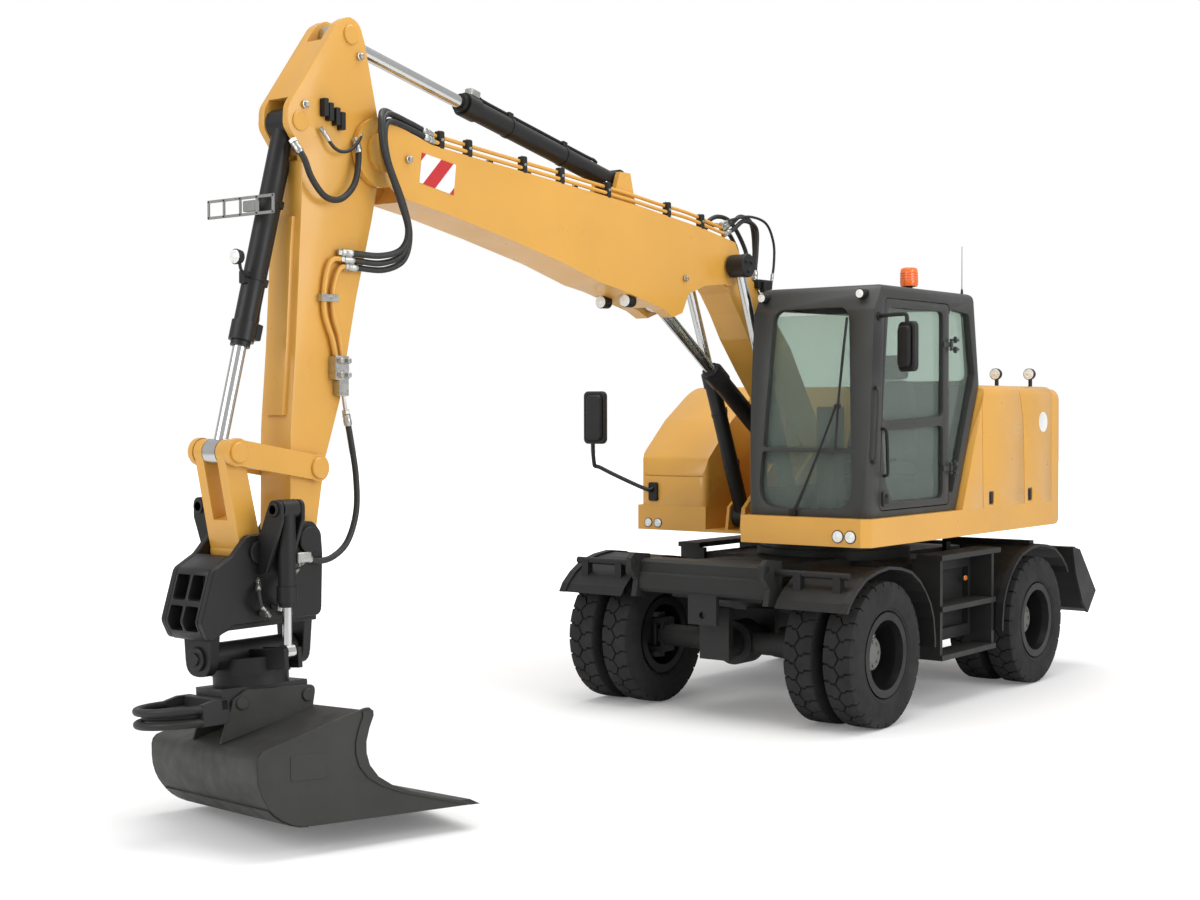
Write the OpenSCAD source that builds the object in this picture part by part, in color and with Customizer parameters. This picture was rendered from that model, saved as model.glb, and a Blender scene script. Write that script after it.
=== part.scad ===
// Wheeled excavator with a two-piece boom, tiltrotator, grading bucket and rear dozer blade.
// X points forward, Y to the machine's left, Z up, millimetres; the swing axis stands on the origin.

/* [Wheels] */
// front axle ahead of the swing axis
front_axle_x = 1400; // [1200:10:1600]
// rear axle behind the swing axis
rear_axle_x = -1200; // [-1400:10:-1000]
// tyre outside radius, to the tread's tips
tyre_r = 526; // [450:1:600]
// width of one tyre
tyre_w = 255; // [200:1:320]
// gap between twin tyres
twin_gap = 65; // [40:1:90]
// inner face of the inner tyre from the machine's middle
twin_in = 681; // [600:1:750]
// radius of the rim's outer flange
rim_r = 305; // [260:1:320]
// kingpin from the machine's middle
kingpin_y = 790; // [700:5:860]

/* [Undercarriage] */
// half width of the main frame box
frame_hw = 400; // [300:5:500]
// underside of the main frame box
frame_z0 = 700; // [600:5:800]
// top of the main frame box
frame_z1 = 1130; // [1000:5:1180]
// front face of the front crossbeam
beam_x = 1930; // [1850:5:2050]
// radius of the fender's crown over the hub
fender_r = 612; // [590:1:650]
// fender sheet thickness
fender_t = 8; // [4:1:15]
// height of the fender's support pipes
pipe_z = 1115; // [1080:1:1150]
// outer edge of the side steps
step_y = 1215; // [1100:5:1260]

/* [Platform] */
// half width of the upper structure
deck_hw = 1250; // [1200:5:1275]
// underside of the skirts
deck_z0 = 1305; // [1250:5:1350]
// top of the skirts
deck_z1 = 1505; // [1450:5:1550]
// front of the skirt below the cab
deck_front = 1690; // [1600:5:1750]
// front of the right side body
right_front = 1000; // [900:5:1100]
// left edge of the right side body
right_in = -585; // [-650:5:-500]
// tail swing radius
tail_r = 2050; // [1900:5:2200]
// front of the counterweight at the sides
tail_x = -1480; // [-1600:5:-1300]
// top of the engine hood
hood_z = 2465; // [2350:5:2550]

/* [Cab] */
// right side of the cab
cab_y0 = 205; // [150:5:260]
// left side of the cab
cab_y1 = 1205; // [1150:5:1240]
// roof of the cab
cab_z1 = 3130; // [3000:5:3200]
// front of the cab at the floor
cab_front = 1610; // [1500:5:1650]
// thickness of posts and panels
cab_t = 55; // [40:1:80]
// rear edge of the door
door_x0 = 345; // [300:5:400]
// front edge of the door
door_x1 = 1450; // [1350:5:1500]

/* [Boom] */
// boom plane from the machine's middle
boom_y = -140; // [-250:5:0]
// boom foot pin, forward and up
foot_p = [200, 1800];
// knuckle pin between the two boom pieces
knuckle_p = [1571, 3341];
// base pin of the lift cylinders
lift_p = [765, 1425];
// base pin of the adjusting cylinder on the lower boom
adjust_p = [620, 1930];
// rod pin of the adjusting cylinder on the upper boom
ear_p = [2300, 3056];
// base pin of the stick cylinder
stick_base_p = [2800, 3850];
// stick pivot at the boom's nose
nose_p = [5211, 3761];
// half width of the lower boom
lower_hw = 130; // [100:5:160]
// half width of the upper boom's box
upper_hw = 165; // [140:5:200]
// lift cylinders from the boom plane
lift_dy = 240; // [220:5:280]

/* [Stick] */
// rod pin of the stick cylinder on the stick
top_p = [5411, 4408];
// base pin of the bucket cylinder
bucket_base_p = [5800, 3870];
// pin at the stick's end
end_p = [5800, 1562];
// rocker pivot on the stick
rocker_p = [5707, 1957];
// pin where rocker, link and rod meet
meet_p = [6284, 2055];
// link's lower pin on the tiltrotator
link_p = [6164, 1520];
// half width of the stick's box
stick_hw = 122; // [100:2:150]

/* [Tiltrotator] */
// height of the tilt axis
tilt_z = 960; // [900:5:1050]
// rotor axis forward of the swing axis
rotor_x = 6080; // [6000:5:6200]
// tilt held in the photo
tilt_rest = 5; // [-40:1:40]
// turn held in the photo
turn_rest = -16; // [-180:1:180]
// tilt cylinders from the boom plane
tilt_dy = 305; // [280:5:340]
// upper pins of the tilt cylinders
tilt_top_z = 1750; // [1650:5:1800]

/* [Bucket] */
// bucket width
bucket_w = 1400; // [1000:10:1800]
// bucket sheet thickness
bucket_t = 16; // [10:1:25]
// floor below the tilt axis
bucket_drop = 868; // [820:1:950]

/* [Blade] */
// blade width
blade_w = 2540; // [2400:10:2600]
// blade arm pivot on the frame
blade_p = [-1450, 600];
// rod pin of the blade cylinders on the arms
blade_rod_p = [-1960, 760];
// base pin of the blade cylinders on the frame
blade_base_p = [-1560, 1010];

/* [Clearance] */
// radial play of a pin in its bore
pin_play = 0.4; // [0.2:0.1:1]
// side play between moving faces
side_play = 6; // [5:0.5:12]
// gap between turning faces that bear on each other
face_play = 0.3; // [0.2:0.1:1]

/* [Hidden] */
$fn = 48;

yellow = "goldenrod";
dark = "dimgray";
black = "black";
steel = "silver";
twin_w = 2 * tyre_w + twin_gap;
twin_out = twin_in + twin_w;
hub_y = twin_in + twin_w / 2;
bead_r = 262;
bead_y = 86;
flange_y = tyre_w / 2 - bead_y;
turret_z = 1165;
spigot_r = 430;
axle_d = 170;
axle_nose = 290;
ear_z = 130;
ear_t = 36;
ear_dy = 94;
kingpin_d = 60;
hub_d = 250;
spindle_y = 990;
frame_back = -1500;
lash_p = [beam_x + 45, 1140];
lash_d = 52;
lash_t = 44;
lash_y = 582;
tow_z = 770;
tow_d = 52;
blade_dy = 150;
blade_ear_dy = 60;
well_back = -200;
well_z = deck_z0 + 24;
hood_front = -250;
bracket_t = 34;
door_z0 = 1550;
door_z1 = 3055;
door_t = 40;
hinge_zs = [1828, 2765];
hinge_d = 28;
foot_pin_d = 90;
lift_pin_d = 80;
knuckle_pin_d = 100;
adjust_pin_d = 80;
nose_pin_d = 100;
stick_pin_d = 80;
bucket_pin_d = 75;
end_pin_d = 80;
rocker_pin_d = 70;
link_pin_d = 70;
blade_pin_d = 60;
blade_eye_pin = 45;
tilt_pin_d = 80;
tilt_eye_pin = 50;
tilt_half = 290;
hanger_t = 40;
claw_r = 240;
bucket_lip = -970;
bucket_back = 330;
bucket_pitch = -2.5;

// distance and heading between two pins of the side view
function reach(p, q) = norm(q - p);
function heading(p, q) = atan2(q[1] - p[1], q[0] - p[0]);
// a point a given way along the line from p to q
function along(p, q, d) = p + (q - p) * d / reach(p, q);

// plate of a side-view outline, w wide about the plane y
module side_plate(pts, w, y = 0) {
    translate([0, y + w / 2, 0]) rotate([90, 0, 0]) linear_extrude(w) polygon(pts);
}

// round bar across the machine at a side-view point, from y0 to y1
module cross_pin(p, d, y0, y1) {
    translate([p[0], y0, p[1]]) rotate([-90, 0, 0]) cylinder(h = y1 - y0, d = d);
}

// places children at side-view point p with their +X along the heading to q
module aim(p, q, y = 0) {
    translate([p[0], y, p[1]]) rotate([0, -heading(p, q), 0]) children();
}

// round bar along +X
module x_bar(d, x0, x1) {
    translate([x0, 0, 0]) rotate([0, 90, 0]) cylinder(h = x1 - x0, d = d);
}

// ring about the Y axis
module y_ring(d, bore, w) {
    rotate([90, 0, 0]) difference() {
        cylinder(h = w, d = d, center = true);
        cylinder(h = w + 2, d = bore, center = true);
    }
}

// cylinder barrel along +X with a bored base eye, a tube and a gland nut
module barrel(len, od, rod_d, eye_w, pin_d) {
    eye_d = 2.1 * pin_d;
    difference() {
        union() {
            y_ring(eye_d, pin_d / 2, eye_w);
            x_bar(od, pin_d / 2, len);
            x_bar(1.16 * od, len - 0.9 * od, len);
            x_bar(0.9 * od, len - 1, len + 0.25 * od);
        }
        x_bar(rod_d + 2, eye_d * 0.55, len + od);
        rotate([90, 0, 0]) cylinder(h = eye_w + 4, d = pin_d + 2 * pin_play, center = true);
    }
}

// piston rod that ends at the origin in a closed eye and runs back along -X
module rod(len, d, eye_d, eye_w) {
    x_bar(d, -len, 0);
    rotate([90, 0, 0]) cylinder(h = eye_w, d = eye_d, center = true);
}

// mirrored copy on the other side of a plane across Y
module both_sides(y = 0) {
    children();
    translate([0, y, 0]) mirror([0, 1, 0]) translate([0, -y, 0]) children();
}

// main frame box with turret, front crossbeam, tow plate, axle seats and blade lugs
module chassis_frame() color(dark) {
    difference() {
        union() {
            side_plate([[frame_back, frame_z0 + 60], [-1400, frame_z0 + 15], [1000, frame_z0 + 15], [1250, frame_z0 + 90],
                [1720, frame_z0 + 170], [1720, frame_z1], [frame_back, frame_z1 - 40]], 2 * frame_hw);
            translate([0, 0, frame_z1 - 40]) cylinder(h = turret_z - frame_z1 + 40, r = 620);
            side_plate([[1700, 915], [beam_x - 25, 915], [beam_x, 940], [beam_x, 1050], [beam_x - 20, 1065],
                [beam_x - 20, 1140], [beam_x - 60, 1160], [1700, 1160]], 1120);
        }
        both_sides() cross_pin([beam_x - 110, 1000], 120, 400, 600);
    }
    both_sides() {
        difference() {
            side_plate([[beam_x - 150, 860], [beam_x + 40, 880], [beam_x + 10, 1000], [beam_x + 95, 1090], [beam_x + 95, 1170],
                [beam_x + 40, 1210], [beam_x - 150, 1190]], lash_t, lash_y);
            cross_pin(lash_p, lash_d, lash_y - lash_t, lash_y + lash_t);
        }
        cross_pin(blade_p, blade_pin_d, 195, 325);
        side_plate([blade_p + [-70, -70], blade_p + [70, -70], blade_p + [120, 130], blade_p + [-120, 130]], 40, 305);
        cross_pin(blade_base_p, blade_eye_pin, blade_dy - blade_ear_dy - 12, blade_dy + blade_ear_dy + 12);
        for (s = [-1, 1]) side_plate([blade_base_p + [-55, -45], blade_base_p + [-55, 45],
            [frame_back, blade_base_p[1] + 70], [frame_back, blade_base_p[1] - 120]], 24, blade_dy + s * blade_ear_dy);
        difference() {
            translate([rear_axle_x - 130, 260, tyre_r]) cube([260, 110, frame_z0 + 15 - tyre_r]);
            cross_pin([rear_axle_x, tyre_r], axle_d, 0, 900);
        }
    }
    for (x = [front_axle_x - axle_nose - 60, front_axle_x + axle_nose])
        translate([x, -130, tyre_r - 100]) cube([60, 260, x < front_axle_x ? 380 : 390]);
    difference() {
        translate([beam_x - 60, -125, 700]) cube([40, 250, 230]);
        translate([0, 0, tow_z]) x_bar(tow_d, beam_x - 100, beam_x);
    }
}

// one axle housing with its differential and input nose
module axle(x, y_end) translate([x, 0, tyre_r]) {
    rotate([90, 0, 0]) cylinder(h = 2 * y_end, d = axle_d, center = true);
    rotate([0, 90, 0]) cylinder(h = 200, d = 330, center = true);
    x_bar(210, -axle_nose, axle_nose);
}

// both axles; the front one ends in ears with fixed kingpins
module axles() color(dark) {
    axle(front_axle_x, kingpin_y - 85);
    both_sides() translate([front_axle_x, kingpin_y, tyre_r]) {
        for (z = [-ear_z, ear_z - 40]) translate([0, 0, z]) {
            cylinder(h = 40, d = 150);
            translate([-75, -130, 0]) cube([150, 130, 40]);
        }
        translate([-75, -130, -ear_z]) cube([150, 30, 2 * ear_z]);
        translate([0, 0, -ear_z - 45]) cylinder(h = 2 * ear_z + 90, d = kingpin_d);
    }
    axle(rear_axle_x, twin_in + 20);
    both_sides() translate([rear_axle_x, twin_in, tyre_r]) rotate([-90, 0, 0]) cylinder(h = spindle_y - twin_in, d = hub_d);
}

module propshaft() color(dark) translate([0, 0, tyre_r]) {
    x_bar(90, rear_axle_x + axle_nose, front_axle_x - axle_nose - 60);
    for (x = [rear_axle_x + axle_nose, front_axle_x - axle_nose - 130]) x_bar(150, x, x + 70);
}

module swing_bearing() color(black) translate([0, 0, turret_z]) difference() {
    cylinder(h = deck_z0 - side_play - turret_z, r = 580);
    translate([0, 0, -1]) cylinder(h = 300, r = spigot_r + pin_play);
}

// fender outline about the hub, set out by o from the sheet's inside
function fender_line(o) = [[-700 - o, -20], [-700 - o, 40], [-676 - o, 200], [-622 - o, 315], [-552 - 0.8 * o, 405],
    [-460 - 0.7 * o, 482 + 0.7 * o], [-330 - 0.4 * o, 556 + 0.9 * o], [-170, fender_r - 18 + o], [0, fender_r + o],
    [170, fender_r - 18 + o], [330 + 0.4 * o, 556 + 0.9 * o], [460 + 0.7 * o, 482 + 0.7 * o],
    [552 + 0.8 * o, 405 + 0.6 * o], [590 + o, 350]];

// bent fender sheet with a raised outer edge band
module fender() translate([0, twin_in - 5, tyre_r]) {
    inner = fender_line(0);
    sheet_w = twin_out - twin_in + 15;
    translate([0, sheet_w, 0]) rotate([90, 0, 0]) linear_extrude(sheet_w)
        polygon(concat(fender_line(fender_t), [for (i = [len(inner) - 1:-1:0]) inner[i]]));
    translate([0, sheet_w, 0]) rotate([90, 0, 0]) linear_extrude(60)
        polygon(concat(fender_line(fender_t + 14), [for (i = [len(inner) - 1:-1:0]) fender_line(fender_t - 1)[i]]));
}

// four fenders on their cross pipes and stays
module fenders() color(dark) both_sides() {
    translate([front_axle_x, 0, 0]) fender();
    cross_pin([beam_x - 75, pipe_z], 50, 604, twin_out - 60);
    for (y = [790, 1110]) translate([front_axle_x, 0, tyre_r])
        side_plate([[425, 504], [485, 464], [485, pipe_z - tyre_r], [425, pipe_z - tyre_r]], 60, y);
    translate([rear_axle_x, 0, 0]) mirror([1, 0, 0]) fender();
    translate([rear_axle_x - 40, frame_hw, tyre_r + fender_r + fender_t - 2]) cube([80, twin_out - frame_hw - 60, 40]);
    translate([rear_axle_x - 40, frame_hw, frame_z1 - 110]) cube([80, 40, tyre_r + fender_r + fender_t + 38 - frame_z1 + 110]);
}

// side boxes with three step treads on each side
module side_steps() color(dark) both_sides() {
    difference() {
        translate([-430, frame_hw, 470]) cube([860, 610, frame_z1 - 40 - 470]);
        translate([-390, frame_hw + 560, 560]) cube([780, 100, 460]);
    }
    for (s = [[1150, -560, 480], [760, -470, 470], [390, -470, 470]])
        translate([s[1], frame_hw + 600, s[0] - 20]) cube([s[2] - s[1], step_y - frame_hw - 600, 40]);
    for (x = [-470, 430]) translate([x, frame_hw + 560, 370]) cube([40, step_y - frame_hw - 580, 760]);
}

// steering knuckle with kingpin bosses and the wheel spindle
module knuckle() translate([front_axle_x, kingpin_y, tyre_r]) difference() {
    union() {
        for (z = [-ear_z - 45, ear_z + 5]) translate([0, 0, z]) {
            cylinder(h = 40, d = 150);
            translate([-75, 0, 0]) cube([150, 125, 40]);
        }
        translate([-75, 85, -ear_z - 45]) cube([150, 40, 2 * ear_z + 90]);
        translate([0, 100, 0]) rotate([-90, 0, 0]) cylinder(h = spindle_y - kingpin_y - 100, d = hub_d);
    }
    cylinder(h = 600, d = kingpin_d + 2 * pin_play, center = true);
}

module knuckle_left() color(dark) knuckle();
module knuckle_right() color(dark) mirror([0, 1, 0]) knuckle();

// tyre section, radius and place across the tread
tyre_half = [[bead_r, bead_y], [rim_r + 4, bead_y], [rim_r + 14, tyre_w / 2 - 14], [390, tyre_w / 2],
    [470, tyre_w / 2 - 8], [tyre_r - 22, tyre_w / 2 - 14], [tyre_r, tyre_w / 2 - 30]];
tyre_line = concat(tyre_half, [for (i = [len(tyre_half) - 1:-1:0]) [tyre_half[i][0], -tyre_half[i][1]]]);

module twin_tyres(x, side) {
    for (y = [twin_in + tyre_w / 2, twin_out - tyre_w / 2])
        translate([x, side * y, tyre_r]) rotate([90, 0, 0]) rotate_extrude() polygon(tyre_line);
}

module tyres_front_left() color(black) twin_tyres(front_axle_x, 1);
module tyres_front_right() color(black) twin_tyres(front_axle_x, -1);
module tyres_rear_left() color(black) twin_tyres(rear_axle_x, 1);
module tyres_rear_right() color(black) twin_tyres(rear_axle_x, -1);

// twin rim drum with flanges, disc and hub cap; the spindle enters from the inside
module twin_rims(x) translate([x, hub_y, tyre_r]) rotate([-90, 0, 0]) {
    half = twin_w / 2;
    disc = spindle_y - hub_y;
    difference() {
        rotate_extrude() polygon([[235, 18 - half], [rim_r - 10, 18 - half], [rim_r - 10, flange_y - half],
            [bead_r, flange_y - half], [bead_r, half - flange_y], [rim_r, half - flange_y], [rim_r, half - 14], [250, half - 14],
            [238, half - 70], [235, disc + 50], [hub_d / 2 + 15, disc + 60], [hub_d / 2 - 5, disc + 130], [0, disc + 130],
            [0, disc - 20], [235, disc - 20]]);
        translate([0, 0, -half]) cylinder(h = half + disc + side_play, d = hub_d + 2 * pin_play);
    }
}

module rims_front_left() color(dark) twin_rims(front_axle_x);
module rims_front_right() color(dark) mirror([0, 1, 0]) twin_rims(front_axle_x);
module rims_rear_left() color(dark) twin_rims(rear_axle_x);
module rims_rear_right() color(dark) mirror([0, 1, 0]) twin_rims(rear_axle_x);

// rear dozer blade, raised for travel
module dozer_blade() color(dark) {
    side_plate([[-1890, 1085], [-1990, 1085], [-2060, 1000], [-2140, 830], [-2250, 700], [-2390, 640], [-2400, 610],
        [-2240, 497], [-2180, 530], [-2080, 720], [-1960, 920]], blade_w - 40);
    both_sides() {
        side_plate([[-1890, 1090], [-2050, 1060], [-2415, 670], [-2235, 490], [-2110, 600], [-1960, 860]],
            20, blade_w / 2 - 10);
        difference() {
            side_plate([blade_p + [80, -50], blade_p + [80, 60], [-1800, 760], [-2075, 800], [-2130, 640], [-1850, 590],
                blade_p + [-60, -60]], 60, 245);
            cross_pin(blade_p, blade_pin_d + 2 * pin_play, 100, 400);
        }
        for (s = [-1, 1]) side_plate([blade_rod_p + [-50, -60], blade_rod_p + [55, -30], blade_rod_p + [40, 50],
            blade_rod_p + [-20, 60], [-2040, 800], [-2120, 660]], 24, blade_dy + s * blade_ear_dy);
    }
}

module blade_barrels() color(dark) both_sides()
    aim(blade_base_p, blade_rod_p, blade_dy) barrel(350, 84, 45, 84, blade_eye_pin);

module blade_rods() color(steel) both_sides()
    aim(blade_rod_p, along(blade_rod_p, blade_base_p, -100), blade_dy) rod(405, 45, 80, 80);

// platform deck with skirts, boom well, boom bracket and lift cylinder lugs
module upper_frame() color(yellow) {
    difference() {
        translate([0, 0, deck_z0]) linear_extrude(deck_z1 - deck_z0)
            polygon([[deck_front, deck_hw - 60], [deck_front - 50, deck_hw], [tail_x, deck_hw], [tail_x, -deck_hw],
                [right_front, -deck_hw], [right_front, cab_y0 - 10], [deck_front, cab_y0 - 10]]);
        translate([well_back, right_in, well_z]) cube([2000, cab_y0 - 30 - right_in, 400]);
    }
    translate([0, 0, turret_z + 10]) cylinder(h = deck_z0 - turret_z, r = spigot_r);
    both_sides(boom_y) {
        y_in = boom_y + lower_hw + side_play;
        side_plate([[-170, well_z - 1], [930, well_z - 1], [900, 1500], [430, 1880], [330, 1945], [80, 1945], [-60, 1850]],
            bracket_t, y_in + bracket_t / 2);
        side_plate([[640, well_z - 1], [890, well_z - 1], [860, 1500], [800, 1545], [730, 1545], [670, 1500]],
            26, boom_y + lift_dy + 80);
        cross_pin(lift_p, lift_pin_d, y_in, boom_y + lift_dy + 93);
    }
    cross_pin(foot_p, foot_pin_d, boom_y - lower_hw - 60, boom_y + lower_hw + 60);
}

// counterweight with a round tail
module counterweight() color(yellow) translate([0, 0, deck_z0]) intersection() {
    cylinder(h = hood_z - deck_z0 - 15, r = tail_r, $fn = 160);
    translate([-2200, -deck_hw, 0]) cube([2200 + tail_x, 2 * deck_hw, 1300]);
}

module engine_block() color(dark) translate([-1250, -450, deck_z1]) cube([650, 900, 700]);

// hollow hood over the engine, slanted along the cab's rear edge
module engine_hood() color(yellow) difference() {
    union() {
        side_plate([[tail_x, deck_z1], [205, deck_z1], [-185, 2440], [-240, hood_z], [tail_x, hood_z]],
            deck_hw - cab_y0, (deck_hw + cab_y0) / 2);
        translate([tail_x, -deck_hw, deck_z1]) cube([hood_front - tail_x, deck_hw + cab_y0, hood_z - deck_z1]);
    }
    translate([tail_x + 40, 40 - deck_hw, deck_z1 - 1])
        cube([hood_front - tail_x - 80, 2 * deck_hw - 80, hood_z - deck_z1 - 39]);
}

// right side body that slopes down to the front
module right_body() color(yellow)
    side_plate([[hood_front, deck_z1], [right_front, deck_z1], [right_front, 1870], [930, 1960], [620, 2190], [200, hood_z],
        [hood_front, hood_z]], deck_hw + right_in, (right_in - deck_hw) / 2);

// cab side outlines, outside and inside
cab_mid = (cab_y0 + cab_y1) / 2;
cab_w = cab_y1 - cab_y0;
cab_line = [[cab_front, deck_z1], [cab_front - 10, 1900], [1520, 2980], [1400, cab_z1], [-60, cab_z1], [-165, 2466],
    [235, deck_z1]];
cab_in_line = [[cab_front - cab_t, deck_z1 + 40], [cab_front - 10 - cab_t, 1900], [1462, 2960], [1370, cab_z1 - 60],
    [-8, cab_z1 - 60], [-105, 2466], [275, deck_z1 + 40]];

// door hinge halves about the door's axis, lugs with a pin on the cab and a strap with an eye on the door
module hinge_lugs() for (z = hinge_zs) translate([door_x0 - 5, cab_y1, z]) {
    for (s = [-45, 25]) translate([0, 0, s]) {
        translate([0, hinge_d / 2, 0]) cylinder(h = 20, d = hinge_d);
        translate([-45, 0, 0]) cube([45, hinge_d, 20]);
    }
    translate([0, hinge_d / 2, -45]) cylinder(h = 90, d = hinge_d / 2);
}

module hinge_straps() for (z = hinge_zs) translate([door_x0 - 5, cab_y1, z - 20]) difference() {
    union() {
        translate([0, hinge_d / 2, 0]) cylinder(h = 40, d = hinge_d);
        cube([110, 10, 40]);
    }
    translate([0, hinge_d / 2, -1]) cylinder(h = 42, d = hinge_d / 2 + 2 * pin_play);
}

// cab frame with roof, door opening and window openings
module cab_shell() color(dark) {
    hinge_lugs();
    cab_frame();
}

module cab_frame() difference() {
    side_plate(cab_line, cab_w, cab_mid);
    side_plate(cab_in_line, cab_w - 2 * cab_t, cab_mid);
    translate([door_x0, cab_y1 - cab_t - 1, door_z0]) cube([door_x1 - door_x0, cab_t + 2, door_z1 - door_z0]);
    translate([1300, cab_y0 + 80, door_z0 + 40]) cube([400, cab_w - 160, 1360]);
    side_plate([[280, 1760], [280, 2990], [-20, 2990], [-70, 2480], [180, 1760]], cab_t + 2, cab_y1 - cab_t / 2);
    side_plate([[1420, 1800], [1400, 2960], [0, 2990], [-60, 2480], [180, 1800]], cab_t + 2, cab_y0 + cab_t / 2);
    translate([-300, cab_y0 + 120, 2500]) cube([400, cab_w - 240, 470]);
}

// window panes set against the inside of the cab frame
module cab_glass() color("lightgreen") {
    pane = 8;
    side_plate([cab_in_line[0], cab_in_line[1], cab_in_line[2], cab_in_line[2] - [pane, 0], cab_in_line[1] - [pane, 0],
        cab_in_line[0] - [pane, 0]], cab_w - 2 * cab_t - 2 * pane, cab_mid);
    side_plate([cab_in_line[4], cab_in_line[4] + [pane, 0], cab_in_line[5] + [pane, 0], cab_in_line[5]],
        cab_w - 2 * cab_t - 2 * pane, cab_mid);
    side_plate([[300, 1740], [300, 3010], [0, 3010], [-90, 2470], [200, 1740]], pane, cab_y1 - cab_t - pane / 2);
    side_plate([[1440, 1780], [1420, 2980], [0, 3010], [-80, 2470], [190, 1780]], pane, cab_y0 + cab_t + pane / 2);
}

module cab_door() color(dark) {
    hinge_straps();
    difference() {
        translate([door_x0 + side_play, cab_y1 - door_t, door_z0 + side_play])
            cube([door_x1 - door_x0 - 2 * side_play, door_t, door_z1 - door_z0 - 2 * side_play]);
        translate([door_x0 + 75, cab_y1 - 90, 2210]) cube([door_x1 - door_x0 - 150, 120, 780]);
        translate([door_x0 + 75, cab_y1 - 90, 1660]) cube([door_x1 - door_x0 - 150, 120, 480]);
    }
}

module door_glass() color("lightgreen") translate([door_x0 + 55, cab_y1 - door_t - 8, 1640])
    cube([door_x1 - door_x0 - 110, 8, 1370]);

module seat() color(black) {
    translate([350, 480, deck_z1 + 40]) cube([500, 480, 520]);
    translate([300, 480, deck_z1 + 560]) cube([140, 480, 700]);
}

module console() color(black) translate([1250, 650, deck_z1 + 40]) cube([120, 160, 750]);

module lamps() color("orange") translate([10, 700, cab_z1]) cylinder(h = 150, d = 130);

// side mirrors on bent arms
module mirrors() color(black) {
    translate([1490, 1400, 2560]) cube([60, 190, 380]);
    translate([1505, cab_y1, 2905]) cube([30, 200, 30]);
    translate([1170, -1600, 2000]) cube([60, 170, 430]);
    translate([right_front, -1180, 1700]) cube([40, 60, 150]);
    translate([right_front, -1560, 1780]) cube([40, 400, 40]);
    translate([right_front, -1600, 1780]) cube([210, 40, 260]);
}

// bent lower boom with its foot, knuckle head and adjusting cylinder lugs
module lower_boom() color(yellow) {
    difference() {
        union() {
            side_plate([[330, 1810], [560, 2080], [839, 2369], [1054, 2586], [1264, 2813], [1401, 2999], [1535, 3150],
                [1690, 3270], knuckle_p, [1460, 3420], [1180, 3240], [660, 2760], [280, 2230], [90, 1870], foot_p],
                2 * lower_hw, boom_y);
            cross_pin(foot_p, 240, boom_y - lower_hw, boom_y + lower_hw);
            cross_pin(knuckle_p, 260, boom_y - lower_hw, boom_y + lower_hw);
            both_sides(boom_y)
                side_plate([[430, 1990], [540, 1870], [620, 1840], [690, 1870], [710, 1940], [690, 2230]], ear_t, boom_y + ear_dy);
        }
        cross_pin(foot_p, foot_pin_d + 2 * pin_play, boom_y - 200, boom_y + 200);
        cross_pin(knuckle_p, knuckle_pin_d + 2 * pin_play, boom_y - 200, boom_y + 200);
    }
    cross_pin(adjust_p, adjust_pin_d, boom_y - ear_dy - ear_t / 2, boom_y + ear_dy + ear_t / 2);
}

module lift_barrels() color(black) both_sides(boom_y)
    aim(lift_p, knuckle_p, boom_y + lift_dy) barrel(1230, 120, 75, 120, lift_pin_d);

module lift_rods() color(steel) both_sides(boom_y)
    aim(knuckle_p, along(knuckle_p, lift_p, -100), boom_y + lift_dy) rod(1350, 75, 170, 110);

module adjust_barrel() color(black) aim(adjust_p, ear_p, boom_y) barrel(1130, 140, 85, 140, adjust_pin_d);

module adjust_rod() color(steel)
    aim(ear_p, along(ear_p, adjust_p, -100), boom_y) rod(1380, 85, 160, 110);

// upper boom box with the knuckle fork, cylinder ears and the stick fork
module upper_boom() color(yellow) {
    difference() {
        union() {
            side_plate([[1470, 3240], [1440, 3440], [1500, 3524], [1944, 3598], [2680, 3682], [3560, 3757], [4343, 3818],
                [4790, 3856], [5150, 3950], nose_p, [5120, 3580], [5005, 3509], [4706, 3466], [4158, 3365], [3562, 3243],
                [3135, 3130], [2912, 3095], [2420, 2985], [2300, 2935], [2190, 2970], [2110, 3110], [1900, 3180], [1640, 3205]],
                2 * upper_hw, boom_y);
            cross_pin(knuckle_p, 290, boom_y - upper_hw, boom_y + upper_hw);
            cross_pin(nose_p, 400, boom_y - upper_hw, boom_y + upper_hw);
            cross_pin(nose_p, 230, boom_y - upper_hw - 30, boom_y + upper_hw + 30);
        }
        fork_w = 2 * (lower_hw + side_play);
        side_plate([[1200, 2900], [1830, 2900], [1800, 3300], [1760, 3700], [1200, 3700]], fork_w, boom_y);
        side_plate([[1830, 2800], [2480, 2800], [2480, 3245], [1830, 3245]], 122, boom_y);
        cross_pin(nose_p, 700, boom_y - stick_hw - side_play, boom_y + stick_hw + side_play);
    }
    cross_pin(knuckle_p, knuckle_pin_d, boom_y - upper_hw, boom_y + upper_hw);
    cross_pin(nose_p, nose_pin_d, boom_y - upper_hw, boom_y + upper_hw);
    both_sides(boom_y) side_plate([stick_base_p + [-130, -190], stick_base_p + [-60, 60], stick_base_p + [60, 60],
        stick_base_p + [140, -150]], ear_t, boom_y + ear_dy);
    cross_pin(stick_base_p, stick_pin_d, boom_y - ear_dy - ear_t / 2, boom_y + ear_dy + ear_t / 2);
}

module stick_barrel() color(black) aim(stick_base_p, top_p, boom_y) barrel(1570, 130, 80, 140, stick_pin_d);

module stick_rod() color(steel)
    aim(top_p, along(top_p, stick_base_p, -100), boom_y) rod(1750, 80, 150, 110);

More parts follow.
